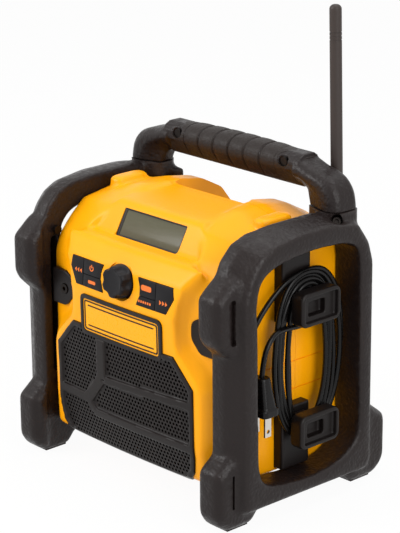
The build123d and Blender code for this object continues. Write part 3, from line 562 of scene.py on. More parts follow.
# the hollow in front of and above the display, as y and z
VALLEY = [(-92, 199.3), LCD_FOOT, LCD_HEAD, (-42.5, 222), (-38.5, 224), (-38.5, 262), (-92, 262)]
# the right half of the grille's outline seen from the front, as x and z
GRILLE_HALF = [(62, 24.5), (72, 27), (78.5, 36), (80.4, 48), (80.4, 105.5), (59.6, 128)]
# the heights between which the mask's face carries the grille
GRILLE_SPAN = (20, 155)
# half the deck's width at the display's head and at the seam
DECK_FRONT_HALF = 51.6
DECK_REAR_HALF = 42.5
# well in front of the housing, behind everything that its face carries, and behind the mask
AHEAD_Y, FACE_BACK_Y, MASK_BACK_Y = -100, -60, 40


def both_halves(half):
    return half + [(-x, z) for x, z in reversed(half)]


def bowed(points, steps=24):
    """A side outline turned round the upright bow axis."""
    rings = []
    for k in range(steps + 1):
        angle = radians(-BOW_HALF_ANGLE + 2 * BOW_HALF_ANGLE * k / steps)
        rings.append([((BOW_AXIS_Y - y) * sin(angle), BOW_AXIS_Y - (BOW_AXIS_Y - y) * cos(angle), z)
                      for y, z in points])
    return capped(rings, "bow")


def face_cutter(outline):
    """A cutter of one outline, seen from the front, that goes through the front face only."""
    return slab_y(outline, AHEAD_Y, FACE_BACK_Y)


def front_slab(near, far, low=20, high=200):
    """A thin bowed slab between two depths below the mask's face, as far as its corners between two heights."""
    line = [p for p in MASK if p[0] < -66 and low < p[1] < high]
    return bowed([(y + near, z) for y, z in line] + [(y + far, z) for y, z in reversed(line)])


def sloped(origin, tilt, u, v, w):
    """A point on a face that leans back by tilt: u across, v up the face, w out of it."""
    lean = radians(tilt)
    return (u, origin[0] + v * sin(lean) - w * cos(lean), origin[1] + v * cos(lean) + w * sin(lean))


# the middle of the key panel and of the display, as y and z, and how far each leans back, in degrees
PANEL, PANEL_TILT = (-82.6, 172.0), 5.2
DISPLAY, DISPLAY_TILT = (-49.95, 209.2), 29.27


def panel_slab(points, low, high):
    return between([sloped(PANEL, PANEL_TILT, u, v, low) for u, v in points],
                   [sloped(PANEL, PANEL_TILT, u, v, high) for u, v in points])


def display_slab(points, low, high, name="cutter"):
    return between([sloped(DISPLAY, DISPLAY_TILT, u, v, low) for u, v in points],
                   [sloped(DISPLAY, DISPLAY_TILT, u, v, high) for u, v in points], name)


def oblong(width, height, radius, centre=(0, 0)):
    """A rectangle with eased corners."""
    x, z = centre
    return rounded([(x - width / 2, z - height / 2), (x + width / 2, z - height / 2),
                    (x + width / 2, z + height / 2), (x - width / 2, z + height / 2)], radius)


# ------------------------------------------------------------------ housing
def body_form(name, inset=0.0):
    """The housing's outer form, or the hollow inside its wall."""
    crest, flank = pulled_in(CREST, inset), pulled_in(FLANK, inset)
    form = slab_x(crest, -CREST_X - 0.5, CREST_X + 0.5, name)
    # what stands above the deck is cut off
    above = slab_x([(-70, 224 - inset), (-38.5, 224 - inset), (SEAM_Y, 226 - inset),
                    (SEAM_Y + 60, 228 - inset), (SEAM_Y + 60, 250), (-70, 250)], -CREST_X - 2, CREST_X + 2)
    front_x, rear_x = DECK_FRONT_HALF + inset, DECK_REAR_HALF + inset
    plan = [(front_x, -41), (rear_x, SEAM_Y), (rear_x, SEAM_Y + 8), (-rear_x, SEAM_Y + 8), (-rear_x, SEAM_Y),
            (-front_x, -41)]
    form = joined(form, joined(above, slab_z(plan, 210, 260), "INTERSECT"))
    # a wing falls away from the crest to each flank
    for side in (-1, 1):
        wing = between([(side * CREST_X, y, z) for y, z in crest],
                       [(side * (SIDE_X - inset), y, z) for y, z in flank])
        form = joined(form, wing, "UNION")
    # the mask, with a sloping skirt that spreads from its edge to the bands beside it
    outline = pulled_in(both_halves(MASK_HALF), inset)
    grown = pulled_in(outline, -12.5)
    skirt = between([(x, -78, z) for x, z in outline], [(x, -66, z) for x, z in grown])
    limits = brick((-SIDE_X + inset, SIDE_X - inset), (-80, -60), (26 + inset, 204))
    skirt = joined(skirt, limits, "INTERSECT")
    front = joined(slab_y(outline, AHEAD_Y, MASK_BACK_Y), skirt, "UNION")
    mask = joined(bowed(pulled_in(MASK, inset)), front, "INTERSECT")
    deck_x = DECK_REAR_HALF - inset
    plan = [(-95, -95), (95, -95), (95, -42), (DECK_FRONT_HALF, -42), (deck_x, SEAM_Y), (-deck_x, SEAM_Y),
            (-DECK_FRONT_HALF, -42), (-95, -42)]
    mask = joined(mask, slab_z(plan, 0, 260), "INTERSECT")
    if inset:
        # the mask is hollow from the key panel up only
        mask = joined(mask, brick((-100, 100), (AHEAD_Y, MASK_BACK_Y), (157, 260)), "INTERSECT")
    reach = slab_y(pulled_in(outline, -2 * inset), AHEAD_Y, MASK_BACK_Y)
    valley = joined(bowed(pulled_in(VALLEY, -inset)), reach, "INTERSECT")
    return joined(joined(form, valley), mask, "UNION")


# height on the panel of the lower corner where the keys' inner edge bends round the knob: left (-1), right (1)
KEY_BEND = {-1: -1.0, 1: -3.0}
# the knob's well: its middle, up the panel, and its radius
WELL_V, WELL_RADIUS = 2.9, 15.6
# the lug on each cheek: its middle and half its width
LUG_X, LUG_HALF = 84, 7.5
# half the width of the storage door's seat, and where its hinge lies, as y and z
DOOR_HALF = 62.5
HINGE_Y, HINGE_Z = 74.9, 60.6
# the two fine grooves across each flank: their heights and half their width
FLANK_GROOVES, FLANK_GROOVE_HALF = (89.5, 112.5), 0.45


def housing():
    """The yellow body, rounded as moulded, hollowed, opened, and parted into its front and rear shells."""
    form = body_form("housing_form")
    # a raised pill-shaped lug on each cheek
    for side in (-1, 1):
        x0, x1 = side * LUG_X - LUG_HALF, side * LUG_X + LUG_HALF
        lug = slab_z(rounded([(x0, -16), (x1, -16), (x1, 18), (x0, 18)], 7), 205, 229)
        form = joined(form, lug, "UNION")
    form = softened(form, 1.45, 24)
    hollow = body_form("hollow", WALL)
    # the walls of the battery bay and of the storage box, and a full front behind the grille
    hollow = joined(hollow, brick((-44.5, 44.5), (11.9, 120), (165.5, 260)))
    hollow = joined(hollow, brick((-66, 66), (31.5, 120), (57, 153)))
    hollow = joined(hollow, brick((-120, 120), (-90, -76), (20, 158)))
    form = joined(form, hollow)
    battery_bay = brick((-42, 42), (14.4, 120), (168, 260))
    storage_box = brick((-57, 57), (34, 120), (66, 144))
    door_seat = brick((-DOOR_HALF, DOOR_HALF), (74.4, 90), (59.5, 150.5))
    hinge_gap = brick((-DOOR_HALF, DOOR_HALF), (HINGE_Y, 90), (57.4, 64))
    hinge_groove = rod((-DOOR_HALF, HINGE_Y, HINGE_Z), (1, 0, 0), 3.2, 2 * DOOR_HALF)
    display_window = display_slab(oblong(73, 23.4, 1.2), -12, 6)
    well = disc((0, WELL_V, 0), (0, 0, 1), WELL_RADIUS, 48)
    knob_well = panel_slab([tuple(p.xy) for p in well], -2.6, 12)
    grille_seat = joined(front_slab(-6, 3.2, *GRILLE_SPAN), face_cutter(both_halves(GRILLE_HALF)), "INTERSECT")
    plate_seat = joined(front_slab(-8, 0.8), face_cutter(oblong(96.4, 34, 6, PLATE_CENTRE)), "INTERSECT")
    cuts = [battery_bay, storage_box, door_seat, hinge_gap, hinge_groove, display_window, knob_well,
            grille_seat, plate_seat]
    for side in (-1, 1):
        # one opening for the three keys on that side, and two fine grooves across the flank
        cluster = [(-60.5, 2.3), (-59, 11), (-20.8, 11), (-23.2, 3.8), (-23.4, KEY_BEND[side]), (-19.8, -11),
                   (-53, -11)]
        cuts.append(panel_slab([(-side * u, v) for u, v in pulled_in(cluster, -0.35)], -12, 12))
        for z in FLANK_GROOVES:
            limits = z - FLANK_GROOVE_HALF, z + FLANK_GROOVE_HALF
            cuts.append(brick(sorted((side * 99.1, side * 104)), (-56, 54), limits))
    for cut in cuts:
        form = joined(form, cut)
    rear = linked("rear_shell", form.data.copy())
    form.name = "front_shell"
    front = joined(form, brick((-140, 140), (SEAM_Y - SEAM_HALF_GAP, 140), (0, 300)))
    rear = joined(rear, brick((-140, 140), (-140, SEAM_Y + SEAM_HALF_GAP), (0, 300)))
    for piece, node in ((front, "front_housing"), (rear, "rear_housing")):
        place(smooth_shaded(piece), YELLOW, "radio", [node], "yellow")


housing()


# ------------------------------------------------------------------ side frames, handle and grip
# the section of the handle's bar and grip, as y and z
HANDLE_SECTION = [(32, 255), (43, 241), (51, 241), (58, 246), (60, 250), (60, 262), (57.5, 267), (53, 270),
                  (41.5, 270), (36, 267.5), (32, 263)]
# half the grip's length, and how far from its middle its two screws are
GRIP_HALF = 79.0
GRIP_SCREW_X = 61.5
# corners of a leg's section beside the grip and at its foot: y, and the share of the way from its inner to its
# outer side
LEG_SECTION = [(32, 0.5), (43, 0), (51, 0), (58, 0.18), (60, 0.32), (60, 0.74), (58.5, 0.9), (54.5, 1),
               (40.5, 1), (36, 0.92), (32, 0.76)]
LEG_FOOT_SECTION = [(32, 0.55), (38.5, 0), (51, 0), (57, 0.14), (60, 0.34), (60, 0.74), (58.5, 0.92),
                    (54.5, 1), (39, 1), (35, 0.94), (32, 0.8)]
LEG_FOOT_Z = 230.5
# x and z of a leg's inner and outer side, from the grip down to the foot
LEG_STATIONS = [((GRIP_HALF, 242.3), (GRIP_HALF, 264.5)), ((81.5, 241), (90, 260.5)),
                ((82.5, 239.5), (100, 258.2)), ((83.5, 237), (110.5, 253.6)), ((85, 234), (118, 244.2)),
                ((86.8, LEG_FOOT_Z), (120.6, LEG_FOOT_Z))]
# the outer face of a side frame, and the outline of its opening as y and z
RIM_X = 130.0
OPENING = [(-57.2, 122), (-59.1, 192), (-46.1, 205.5), (-6, 210.8), (29, 209.7), (43.3, 206.6), (52.9, 199.4),
           (53.7, 126), (55, 51.4), (50.6, 41), (33.5, 28.8), (-1, 25.3), (-34.8, 29), (-50.2, 33.6),
           (-56.8, 47.4)]
# where the screw that fixes a leg to its frame sits, and the way it faces
SCREW_PLACE, SCREW_WAY = Vector((118.5, 36, 225)), Vector((0.62, -0.6, 0.5)).normalized()


def eased(values, t):
    """A point on the smooth curve through a list of vectors; t counts from 0 at the first."""
    k = min(int(t), len(values) - 2)
    a, b, c, d = (values[min(max(k + j, 0), len(values) - 1)] for j in (-1, 0, 1, 2))
    t -= k
    return b + 0.5 * t * (c - a + t * (2 * a - 5 * b + 4 * c - d + t * (3 * (b - c) + d - a)))


def leg_outline(ends, progress):
    """One section of the leg, its corners eased, on the slanted plane through its two sides."""
    inner, outer = (Vector((x, 0, z)) for x, z in ends)
    width = (outer - inner).length
    corners = [(y0 + progress * (y1 - y0), (share0 + progress * (share1 - share0)) * width)
               for (y0, share0), (y1, share1) in zip(LEG_SECTION, LEG_FOOT_SECTION)]
    return [inner + (outer - inner) * (across / width) + Vector((0, y, 0))
            for y, across in rounded(corners, 1.6, 2)]


def gathered(item, other):
    """Puts two overlapping solids in one mesh, for an even remesh to make one."""
    mesh = bmesh.new()
    mesh.from_mesh(item.data)
    mesh.from_mesh(other.data)
    mesh.to_mesh(item.data)
    mesh.free()
    drop(other)
    return item


def side_frame():
    """The frame with rounder corners in its opening, a cuff under the handle's leg and the leg's screw, on the
    right and mirrored on the left."""
    corners = joined(slab_x(pulled_in(OPENING, -1.5), SIDE_X + 1, RIM_X - 0.1),
                     slab_x(rounded(OPENING, 18, 8), SIDE_X, RIM_X + 1))
    frame = softened(gathered(copied("right_side_frame", "right_frame_moulding"), corners), 1.5, 24)
    # a slot in the front post and a fine groove in the front foot
    slot = slab_x(rounded([(-80.2, 152), (-75.4, 152), (-75.4, 188), (-80.2, 188)], 2.3), 119, 140)
    groove = slab_x(rounded([(-79.4, 20), (-77.2, 20), (-77.2, 48), (-79.4, 48)], 1), 121.2, 140)
    frame = joined(joined(frame, slot), groove)
    foot = leg_outline(LEG_STATIONS[-1], 1.0)
    cuff = slab_z(pulled_in([(point.x, point.y) for point in foot], -0.8), 219, LEG_FOOT_Z - 0.3)
    frame = joined(frame, cuff, "UNION")
    recess = turned(SCREW_PLACE + SCREW_WAY * 12, -SCREW_WAY, [(0, 4.6), (12, 4.6), (17, 4.3)])
    frame = joined(frame, recess)
    head = turned(SCREW_PLACE - SCREW_WAY * 5.4, SCREW_WAY,
                  [(0, 3.9), (2.0, 3.9), (2.7, 3.2), (2.7, 1.7), (1.0, 1.5)], "right_leg_screw")
    left_head = mirrored(head, "left_leg_screw")
    for screw in (head, left_head):
        place(smooth_shaded(screw), BLACKENED, "radio", (), "steel")
    smooth_shaded(frame, 50)
    left = mirrored(frame, "left_frame_moulding")
    place(frame, BLACK, "radio", ["right_side_frame"], "black")
    place(left, BLACK, "radio", ["left_side_frame"], "black")


def handle():
    """Two legs that sweep down to the frames, joined by a bar inside the grip."""
    last = len(LEG_STATIONS) - 1
    values = [Vector((*inner, *outer)) for inner, outer in LEG_STATIONS]
    rings = [[(GRIP_HALF - 6, p.y, p.z) for p in leg_outline(LEG_STATIONS[0], 0.0)]]
    steps = 44
    for i in range(steps + 1):
        t = last * i / steps
        inner_x, inner_z, outer_x, outer_z = eased(values, t)
        ends = (inner_x, inner_z), (outer_x, outer_z)
        rings.append([tuple(p) for p in leg_outline(ends, t / last)])
    leg = skinned(rings, "handle_moulding")
    other = mirrored(leg, "left_leg")
    bar = slab_x(pulled_in(HANDLE_SECTION, 1.6), -GRIP_HALF + 1, GRIP_HALF - 1)
    piece = joined(joined(leg, other, "UNION"), bar, "UNION")
    for x in (-GRIP_SCREW_X, GRIP_SCREW_X):
        piece = joined(piece, rod((x, 28, 261), (0, 1, 0), 5.2, 9.2))
    place(smooth_shaded(softened(piece, 1.0, 3, 0.7), 50), BLACK, "radio", ["handle_bar"], "black")


side_frame()
handle()


# the grip's ribs lie side by side over RIBS_HALF to each side of its middle; each rises slowly out of one
# groove and drops steeply into the next
RIB_PITCH, RIBS_HALF = 17.7, 53
FIRST_RIB_X = -2.5 * RIB_PITCH
RIB_RISE, RIB_DROP = 2.6, 0.8
GROOVE_DEPTH, RIB_HEIGHT = 1.25, 0.45
# the sleeve's ends are rounded over this length and depth, and its top is lower there by the sag
END_LENGTH, END_DEPTH, SAG = 5, 2.2, 2.4
# below RIB_FOOT_Z the sleeve is plain, and RIB_BLEND higher the ribs have their full depth
RIB_FOOT_Z, RIB_BLEND = 246, 8


def grip():
    """The ribbed rubber sleeve: the handle's section with overlapping ribs over its top, front and back."""
    outline = rounded(HANDLE_SECTION, 4, 4)
    centre = Vector((46.5, 256))
    rings = []
    steps = 316
    for k in range(steps + 1):
        x = -GRIP_HALF + 2 * GRIP_HALF * k / steps
        end = max(0.0, abs(x) - (GRIP_HALF - END_LENGTH)) / END_LENGTH
        crown = -0.1 - SAG * (x / GRIP_HALF) ** 2
        phase = ((x - FIRST_RIB_X + RIB_PITCH / 2) / RIB_PITCH) % 1.0
        rib = 0.0
        if abs(x) < RIBS_HALF:
            way, slope = (phase, RIB_RISE) if phase < 0.5 else (1 - phase, RIB_DROP)
            groove = 1 - min(1.0, way * RIB_PITCH / slope)
            rib = -GROOVE_DEPTH * groove + RIB_HEIGHT * sin(pi * phase)
        ring = []
        for y, z in outline:
            spoke = Vector((y, z)) - centre
            share = min(1.0, max(0.0, (z - RIB_FOOT_Z) / RIB_BLEND))
            grow = share * (rib + crown) - END_DEPTH * end ** 2
            spoke *= 1 + grow / spoke.length
            ring.append((x, centre.x + spoke.x, centre.y + spoke.y))
        rings.append(ring)
    sleeve = skinned(rings, "grip_sleeve")
    for x in (-GRIP_SCREW_X, GRIP_SCREW_X):
        recess = turned((x, 30, 265.2), (0, 1, -0.35), [(0, 8.4), (3.6, 6.6), (14, 5.4)])
        sleeve = joined(sleeve, recess)
    place(smooth_shaded(sleeve, 45), GRIP, "radio", ["handle_grip"], "rubber")


grip()


# ------------------------------------------------------------------ loudspeaker grille
# the punches start on an upright plane in front of the grille and are carried straight back onto it; what is
# still in front of MISSED_Y has hit nothing
PUNCH_PLANE_Y, MISSED_Y, RAY_LENGTH = -0.11, -0.1, 0.1
PUNCH_SIDES = 6
# named inputs of the tree, in metres
PUNCHING = {"Pitch": 0.0036, "Row pitch": 0.0031, "Hole radius": 0.00125, "Punch depth": 0.0036,
            "Middle height": 0.078, "Columns": 46, "Rows": 34}


def set_input(modifier, name, value):
    """Sets one named input of a Geometry Nodes modifier."""
    for item in modifier.node_group.interface.items_tree:
        if item.item_type == "SOCKET" and item.in_out == "INPUT" and item.name == name:
            modifier[item.identifier] = value


def hole_pattern(finish):
    """A tree that drops staggered six-sided punches onto whatever face it is given."""
    tree = bpy.data.node_groups.new("staggered_punches", "GeometryNodeTree")
    sockets = tree.interface
    sockets.new_socket("Field", in_out="INPUT", socket_type="NodeSocketGeometry")
    for name in ("Pitch", "Row pitch", "Hole radius", "Punch depth", "Middle height"):
        sockets.new_socket(name, in_out="INPUT", socket_type="NodeSocketFloat")
    for name in ("Columns", "Rows"):
        sockets.new_socket(name, in_out="INPUT", socket_type="NodeSocketInt")
    sockets.new_socket("Punches", in_out="OUTPUT", socket_type="NodeSocketGeometry")
    given = add(tree, "NodeGroupInput").outputs
    wide = add(tree, "ShaderNodeMath", {0: given["Pitch"], 1: given["Columns"]}, operation="MULTIPLY")
    tall = add(tree, "ShaderNodeMath", {0: given["Row pitch"], 1: given["Rows"]}, operation="MULTIPLY")
    more_x = add(tree, "ShaderNodeMath", {0: given["Columns"], 1: 1.0}, operation="ADD")
    more_y = add(tree, "ShaderNodeMath", {0: given["Rows"], 1: 1.0}, operation="ADD")
    grid = add(tree, "GeometryNodeMeshGrid", {"Size X": wide.outputs[0], "Size Y": tall.outputs[0],
                                              "Vertices X": more_x.outputs[0],
                                              "Vertices Y": more_y.outputs[0]})
    spot = add(tree, "ShaderNodeSeparateXYZ", {0: add(tree, "GeometryNodeInputPosition").outputs[0]})
    row = add(tree, "ShaderNodeMath", {0: spot.outputs["Y"], 1: given["Row pitch"]}, operation="DIVIDE")
    whole = add(tree, "ShaderNodeMath", {0: row.outputs[0]}, operation="ROUND")
    odd = add(tree, "ShaderNodeMath", {0: whole.outputs[0], 1: 2.0}, operation="FLOORED_MODULO")
    shift = add(tree, "ShaderNodeMath", {0: odd.outputs[0], 1: given["Pitch"]}, operation="MULTIPLY")
    half = add(tree, "ShaderNodeMath", {0: shift.outputs[0], 1: 0.5}, operation="MULTIPLY")
    across = add(tree, "ShaderNodeMath", {0: spot.outputs["X"], 1: half.outputs[0]}, operation="ADD")
    height = add(tree, "ShaderNodeMath", {0: spot.outputs["Y"], 1: given["Middle height"]}, operation="ADD")
    upright = add(tree, "ShaderNodeCombineXYZ", {"X": across.outputs[0], "Y": PUNCH_PLANE_Y,
                                                 "Z": height.outputs[0]})
    stood = add(tree, "GeometryNodeSetPosition", {"Geometry": grid.outputs["Mesh"],
                                                  "Position": upright.outputs[0]})
    ray = add(tree, "GeometryNodeRaycast", {"Target Geometry": given["Field"], "Ray Direction": (0, 1, 0),
                                            "Ray Length": RAY_LENGTH})
    landed = add(tree, "GeometryNodeSetPosition", {"Geometry": stood.outputs[0],
                                                   "Position": ray.outputs["Hit Position"],
                                                   "Selection": ray.outputs["Is Hit"]})
    end = add(tree, "ShaderNodeSeparateXYZ", {0: add(tree, "GeometryNodeInputPosition").outputs[0]})
    missed = add(tree, "FunctionNodeCompare", {0: end.outputs["Y"], 1: MISSED_Y}, data_type="FLOAT",
                 operation="LESS_THAN")
    kept = add(tree, "GeometryNodeDeleteGeometry", {"Geometry": landed.outputs[0],
                                                    "Selection": missed.outputs[0]})
    punch = add(tree, "GeometryNodeMeshCylinder", {"Vertices": PUNCH_SIDES, "Radius": given["Hole radius"],
                                                   "Depth": given["Punch depth"]}, fill_type="NGON")
    lying = add(tree, "FunctionNodeEulerToRotation", {0: (pi / 2, 0, 0)})
    set_out = add(tree, "GeometryNodeInstanceOnPoints", {"Points": kept.outputs[0],
                                                         "Instance": punch.outputs["Mesh"],
                                                         "Rotation": lying.outputs[0]})
    real = add(tree, "GeometryNodeRealizeInstances", {0: set_out.outputs[0]})
    dressed = add(tree, "GeometryNodeSetMaterial", {"Geometry": real.outputs[0], "Material": finish})
    add(tree, "NodeGroupOutput", {0: dressed.outputs[0]})
    return tree


# outlines of the solid ribs that cross the grille, as x and z
RIBS = [[(-30, 129), (-19.5, 129), (-19.5, 88), (-30, 86)], [(-22, 83.5), (82, 88.7), (82, 95), (-20.5, 90)],
        [(-30, 88.5), (-20.5, 85), (-39, 62), (-49, 66.5)], [(-82, 63), (-44, 62), (-45, 69.5), (-82, 70)],
        [(-49, 66.5), (-40, 66.5), (-29, 56.5), (-33.5, 52)], [(-33.5, 59), (82, 59), (82, 52), (-33.5, 52)]]


def loudspeaker_grille():
    """The bowed plate, punched everywhere but on its rim, on its ribs and behind the name plate."""
    plate = softened(copied("speaker_grille", "perforated_grille"), 0.85, 3)
    inside_rim = face_cutter(pulled_in(both_halves(GRILLE_HALF), 6.0))
    field = joined(front_slab(0.6, 3.0, *GRILLE_SPAN), inside_rim, "INTERSECT")
    field.name = "hole_field"
    for rib in RIBS:
        field = joined(field, face_cutter(pulled_in(rib, -1.5)))
    field = joined(field, brick((-50, 50), (AHEAD_Y, FACE_BACK_Y), (119.3, 156)))
    step = field.modifiers.new("punches", "NODES")
    step.node_group = hole_pattern(SATIN_BLACK)
    for name, value in PUNCHING.items():
        set_input(step, name, value)
    settled(field)
    plate = joined(plate, field)
    place(smooth_shaded(plate, 40), GRILLE_BLACK, "radio", ["speaker_grille"], "black")


loudspeaker_grille()


# ------------------------------------------------------------------ name plate, bare but for its lines
def plate_layer(outline, low, high, name="layer"):
    """A thin bowed layer of the plate, between two heights above the mask's face."""
    piece = joined(front_slab(-high, -low), face_cutter(outline), "INTERSECT")
    piece.name = name
    return piece


def badge():
    """The bare plate, its raised border, a thin frame inside it and two lines across."""
    plate = plate_layer(oblong(96, 33.6, 6, PLATE_CENTRE), -0.7, 0.7, "bare_plate")
    place(smooth_shaded(plate), PLATE, "radio", ["badge_plate"], "plate_yellow")
    edge = plate_layer(oblong(96.2, 33.8, 6, PLATE_CENTRE), -0.7, 1.3, "plate_border")
    edge = joined(edge, face_cutter(oblong(89.4, 27.0, 3.4, PLATE_CENTRE)))
    place(bevelled(edge, 0.4), SATIN_BLACK, "radio", (), "black")
    line = plate_layer(oblong(86.8, 24.4, 2.2, PLATE_CENTRE), 0.2, 1.0, "plate_lines")
    line = joined(line, face_cutter(oblong(84.6, 22.2, 1.8, PLATE_CENTRE)))
    for z in (129.2, 145.8):
        line = joined(line, plate_layer(oblong(78, 1.0, 0.3, (0, z)), 0.2, 1.0), "UNION")
    place(smooth_shaded(line), SATIN_BLACK, "radio", (), "black")


badge()


# ------------------------------------------------------------------ keys, their printed marks, and the knob
# the keys stand this far out of the mask's face, as a negative inset, and their marks a little more
KEY_FACE, PRINT_HEIGHT = -0.4, 0.10


def printed(outlines, name, body):
    """Marks printed in orange on a key: each outline is (u, v) on the panel."""
    mark = None
    for outline in outlines:
        skin = bowed(pulled_in(MASK, KEY_FACE - PRINT_HEIGHT), steps=48)
        part = joined(panel_slab(outline, -0.6, 4), skin, "INTERSECT")
        mark = part if mark is None else joined(mark, part, "UNION")
    mark.name = name
    place(mark, PRINT_ORANGE, body, (), "key_rubber")


def arrow(u, v, size, side):
    """A triangle that points left (-1) or right (1)."""
    return [(u, v - size), (u, v + size), (u + side * size * 1.25, v)]


def ring_marks(u, v, outer, inner, gap):
    """A ring open at its top over gap degrees, as one outline: round its outside and back along its inside."""
    points = []
    for radius, order in ((outer, range(25)), (inner, range(24, -1, -1))):
        for k in order:
            angle = radians(90 + gap / 2 + (360 - gap) * k / 24)
            points.append((u + radius * cos(angle), v + radius * sin(angle)))
    return points


def keys():
    """Six caps with their printed marks: arrows, the power symbol, and plain bars."""
    bodies = {"seek_down_key": "seek down key", "power_key": "power key", "clock_key": "clock key",
              "mode_key": "mode key", "preset_key": "preset key", "seek_up_key": "seek up key"}
    for node, body in bodies.items():
        cap = bevelled(copied(node, node.replace("_key", "_cap")), 0.55, 3)
        place(cap, SILICONE, body, [node], "key_rubber")
    printed([arrow(-53.2 + 3.3 * k, 0.6, 1.9, -1) for k in range(3)], "seek_down_print", "seek down key")
    power_symbol = [ring_marks(-34.5, 5.2, 2.5, 1.6, 80), oblong(0.9, 2.7, 0.2, (-34.5, 6.7))]
    printed(power_symbol, "power_print", "power key")
    printed([oblong(9.0, 2.6, 1.2, (-33.5, -6.2))], "clock_print", "clock key")
    printed([oblong(11.5, 4.4, 2.0, (30.5, 4.2))], "mode_print", "mode key")
    printed([oblong(1.6, 1.9, 0.3, (23.2 + 2.5 * k, -7.2)) for k in range(6)], "preset_print", "preset key")
    printed([arrow(45.8 + 3.2 * k, -3.2, 1.9, 1) for k in range(3)], "seek_up_print", "seek up key")


keys()


# the knob's profile: height above the panel, radius, and share of the scallops' full depth
KNOB_PROFILE = [(-2.2, 13.6, 0.0), (-0.6, 13.8, 0.1), (0.6, 13.6, 0.55), (2.0, 13.4, 1.0), (5.5, 12.9, 1.0),
                (7.6, 12.5, 0.95), (8.3, 12.0, 0.85), (8.5, 11.2, 0.6), (8.2, 9.6, 0.2), (7.9, 7.5, 0.0),
                (7.8, 3.0, 0.0)]
KNOB_POINTS = 120
# degrees from one scallop to the next, half its width in degrees, and its depth in millimetres
SCALLOP_PITCH, SCALLOP_HALF, SCALLOP_DEPTH = 60, 19, 2.2


def knob():
    """Six broad scallops round a tapering barrel with a shallow dished face."""
    rings = []
    for height, radius, scallop in KNOB_PROFILE:
        ring = []
        for i in range(KNOB_POINTS):
            angle = 2 * pi * i / KNOB_POINTS
            off = (360 // KNOB_POINTS * i - SCALLOP_PITCH // 2) % SCALLOP_PITCH
            nearest = min(off, SCALLOP_PITCH - off)
            dent = SCALLOP_DEPTH * scallop * max(0.0, 1 - (nearest / SCALLOP_HALF) ** 2)
            reach = radius - dent
            ring.append(sloped(PANEL, PANEL_TILT, reach * sin(angle), WELL_V + reach * cos(angle), height))
        rings.append(ring)
    piece = skinned(rings, "tuning_knob_moulding")
    place(smooth_shaded(piece, 60), SILICONE, "tuning knob", ["tuning_knob"], "key_rubber")


knob()


# ------------------------------------------------------------------ display
def display():
    """The window and the dark rim that stands round it, a little wider on its left."""
    glass = display_slab(oblong(72.6, 23.0, 1.0), -2.6, -1.3, "display_glass")
    place(bevelled(glass, 0.2), LENS, "radio", ["display_lens"], "lens")
    rim = display_slab(oblong(72.8, 23.2, 1.0), -2.2, -0.9, "display_rim")
    seen = rounded([(-33.4, -10.3), (35.4, -10.3), (35.4, 10.6), (-33.4, 10.6)], 1.0)
    rim = joined(rim, display_slab(seen, -6, 6))
    place(bevelled(rim, 0.25), SATIN_BLACK, "radio", (), "black")


display()


# ------------------------------------------------------------------ tongues, hooks, rail, plug
# node: name of its moulding, size in millimetres of the even remesh, rounds of smoothing
SMALL_MOULDINGS = {
    "left_boss": ("left_tongue", 0.7, 5),
    "right_boss": ("right_tongue", 0.7, 5),
    "lower_cord_hook": ("lower_hook_moulding", 0.7, 16),
    "upper_cord_hook": ("upper_hook_moulding", 0.7, 16),
    "cord_rail": ("rail_moulding", 1.0, 4),
}
for node, (name, voxel, rounds) in SMALL_MOULDINGS.items():
    place(softened(copied(node, name), voxel, rounds), SATIN_BLACK, "radio", [node], "black")
plug = place(softened(copied("plug_body", "plug_moulding"), 0.6, 6), VINYL, "radio", ["plug_body"], "cord")


# ------------------------------------------------------------------ power cord
# the cord's route in millimetres: up from the boot, wound over the hooks, once round the upper hook's neck, and
# down to the plug
LEAD = [(105.5, -50, 122), (105.7, -49.9, 135), (108.5, -44.5, 152), (110.5, -33.5, 168), (112, -19, 181),
        (112.8, -5, 188.5)]
TAIL = [(118.4, -37.5, 142.5), (117.8, -41.8, 131), (117, -42.8, 117)]
ROUND_NECK = [(113.4, -5.2, 168.5), (114.2, 2, 178.5), (114.8, 13.5, 180), (115.1, 22, 172),
              (115.1, 22, 159.5), (115.1, 14, 150), (115.1, 1, 147), (115.4, -13, 148.5), (117.2, -27.5, 149.5)]
# the coil's turns, the points in each, and the angle at which it starts, in degrees
TURNS, POINTS_PER_TURN = 6, 16
FIRST_ANGLE = 98
CORD_RADIUS = 2.15


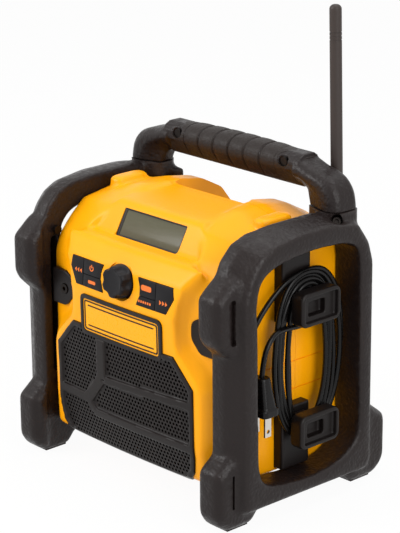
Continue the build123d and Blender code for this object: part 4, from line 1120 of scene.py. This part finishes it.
def wound():
    """Turns of an upright oval over the two hooks, each a little smaller than the one before."""
    points = []
    for k in range(TURNS * POINTS_PER_TURN + 1):
        turn = k / POINTS_PER_TURN
        angle = radians(FIRST_ANGLE) - 2 * pi * turn
        # the oval's limits draw in by a few millimetres with each turn
        front, rear = -30 + 3.7 * turn * 0.92, 50 - 4.1 * turn * 0.95
        top, bottom = 192.5 - 2.9 * turn, 52.5 + 1.8 * turn
        across, along = cos(angle), sin(angle)
        # powers under one make the oval fuller than an ellipse
        y = (front + rear) / 2 + (rear - front) / 2 * (abs(across) ** 0.82) * (1 if across > 0 else -1)
        z = (top + bottom) / 2 + (top - bottom) / 2 * (abs(along) ** 0.9) * (1 if along > 0 else -1)
        # each turn wanders a little, and every second one lies further out
        y += 2.0 * sin(2.0 * angle + 1.7 * int(turn + 0.2)) * abs(across)
        x = 112.0 + 1.7 * (0.5 - 0.5 * cos(pi * turn))
        points.append((x, y, z))
    return points


def power_cord():
    # the turns' first point and last two give way to the lead and to the loop round the neck
    route = [tuple(c * MM for c in p) for p in LEAD + wound()[1:-2] + ROUND_NECK + TAIL]
    data = bpy.data.curves.new("power_cord", "CURVE")
    data.dimensions = "3D"
    line = data.splines.new("NURBS")
    line.points.add(len(route) - 1)
    for point, place_at in zip(line.points, route):
        point.co = (*place_at, 1)
    line.order_u = 3
    line.use_endpoint_u = True
    line.resolution_u = 6
    data.bevel_depth = CORD_RADIUS * MM
    data.bevel_resolution = 3
    data.use_fill_caps = True
    data.materials.append(VINYL)
    cord = linked("power_cord", data)
    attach(cord, "radio")
    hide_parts("cord_lead", "cord_coil", "cord_tail")


def strain_relief():
    """A tapering boot with rings, on a short foot that is fixed to the side wall."""
    pitch, taper, groove = 3.8, 0.28, 0.7
    profile = [(0, 4.6), (4, 4.6)]
    for k in range(5):
        radius = 4.3 - taper * k
        profile += [(5 + pitch * k, radius), (7.4 + pitch * k, radius), (7.6 + pitch * k, radius - groove),
                    (8.6 + pitch * k, radius - groove)]
    profile += [(24.5, 2.9), (25.2, 2.4)]
    boot = turned((105.5, -50.0, 118.0), (0.008, 0.004, 1), profile, "cord_boot", 24)
    foot = brick((99.6, 105.5), (-53.5, -46.5), (120, 132))
    boot = joined(boot, foot, "UNION")
    place(bevelled(boot, 0.3), VINYL, "radio", ["cord_gland"], "cord")


power_cord()
strain_relief()
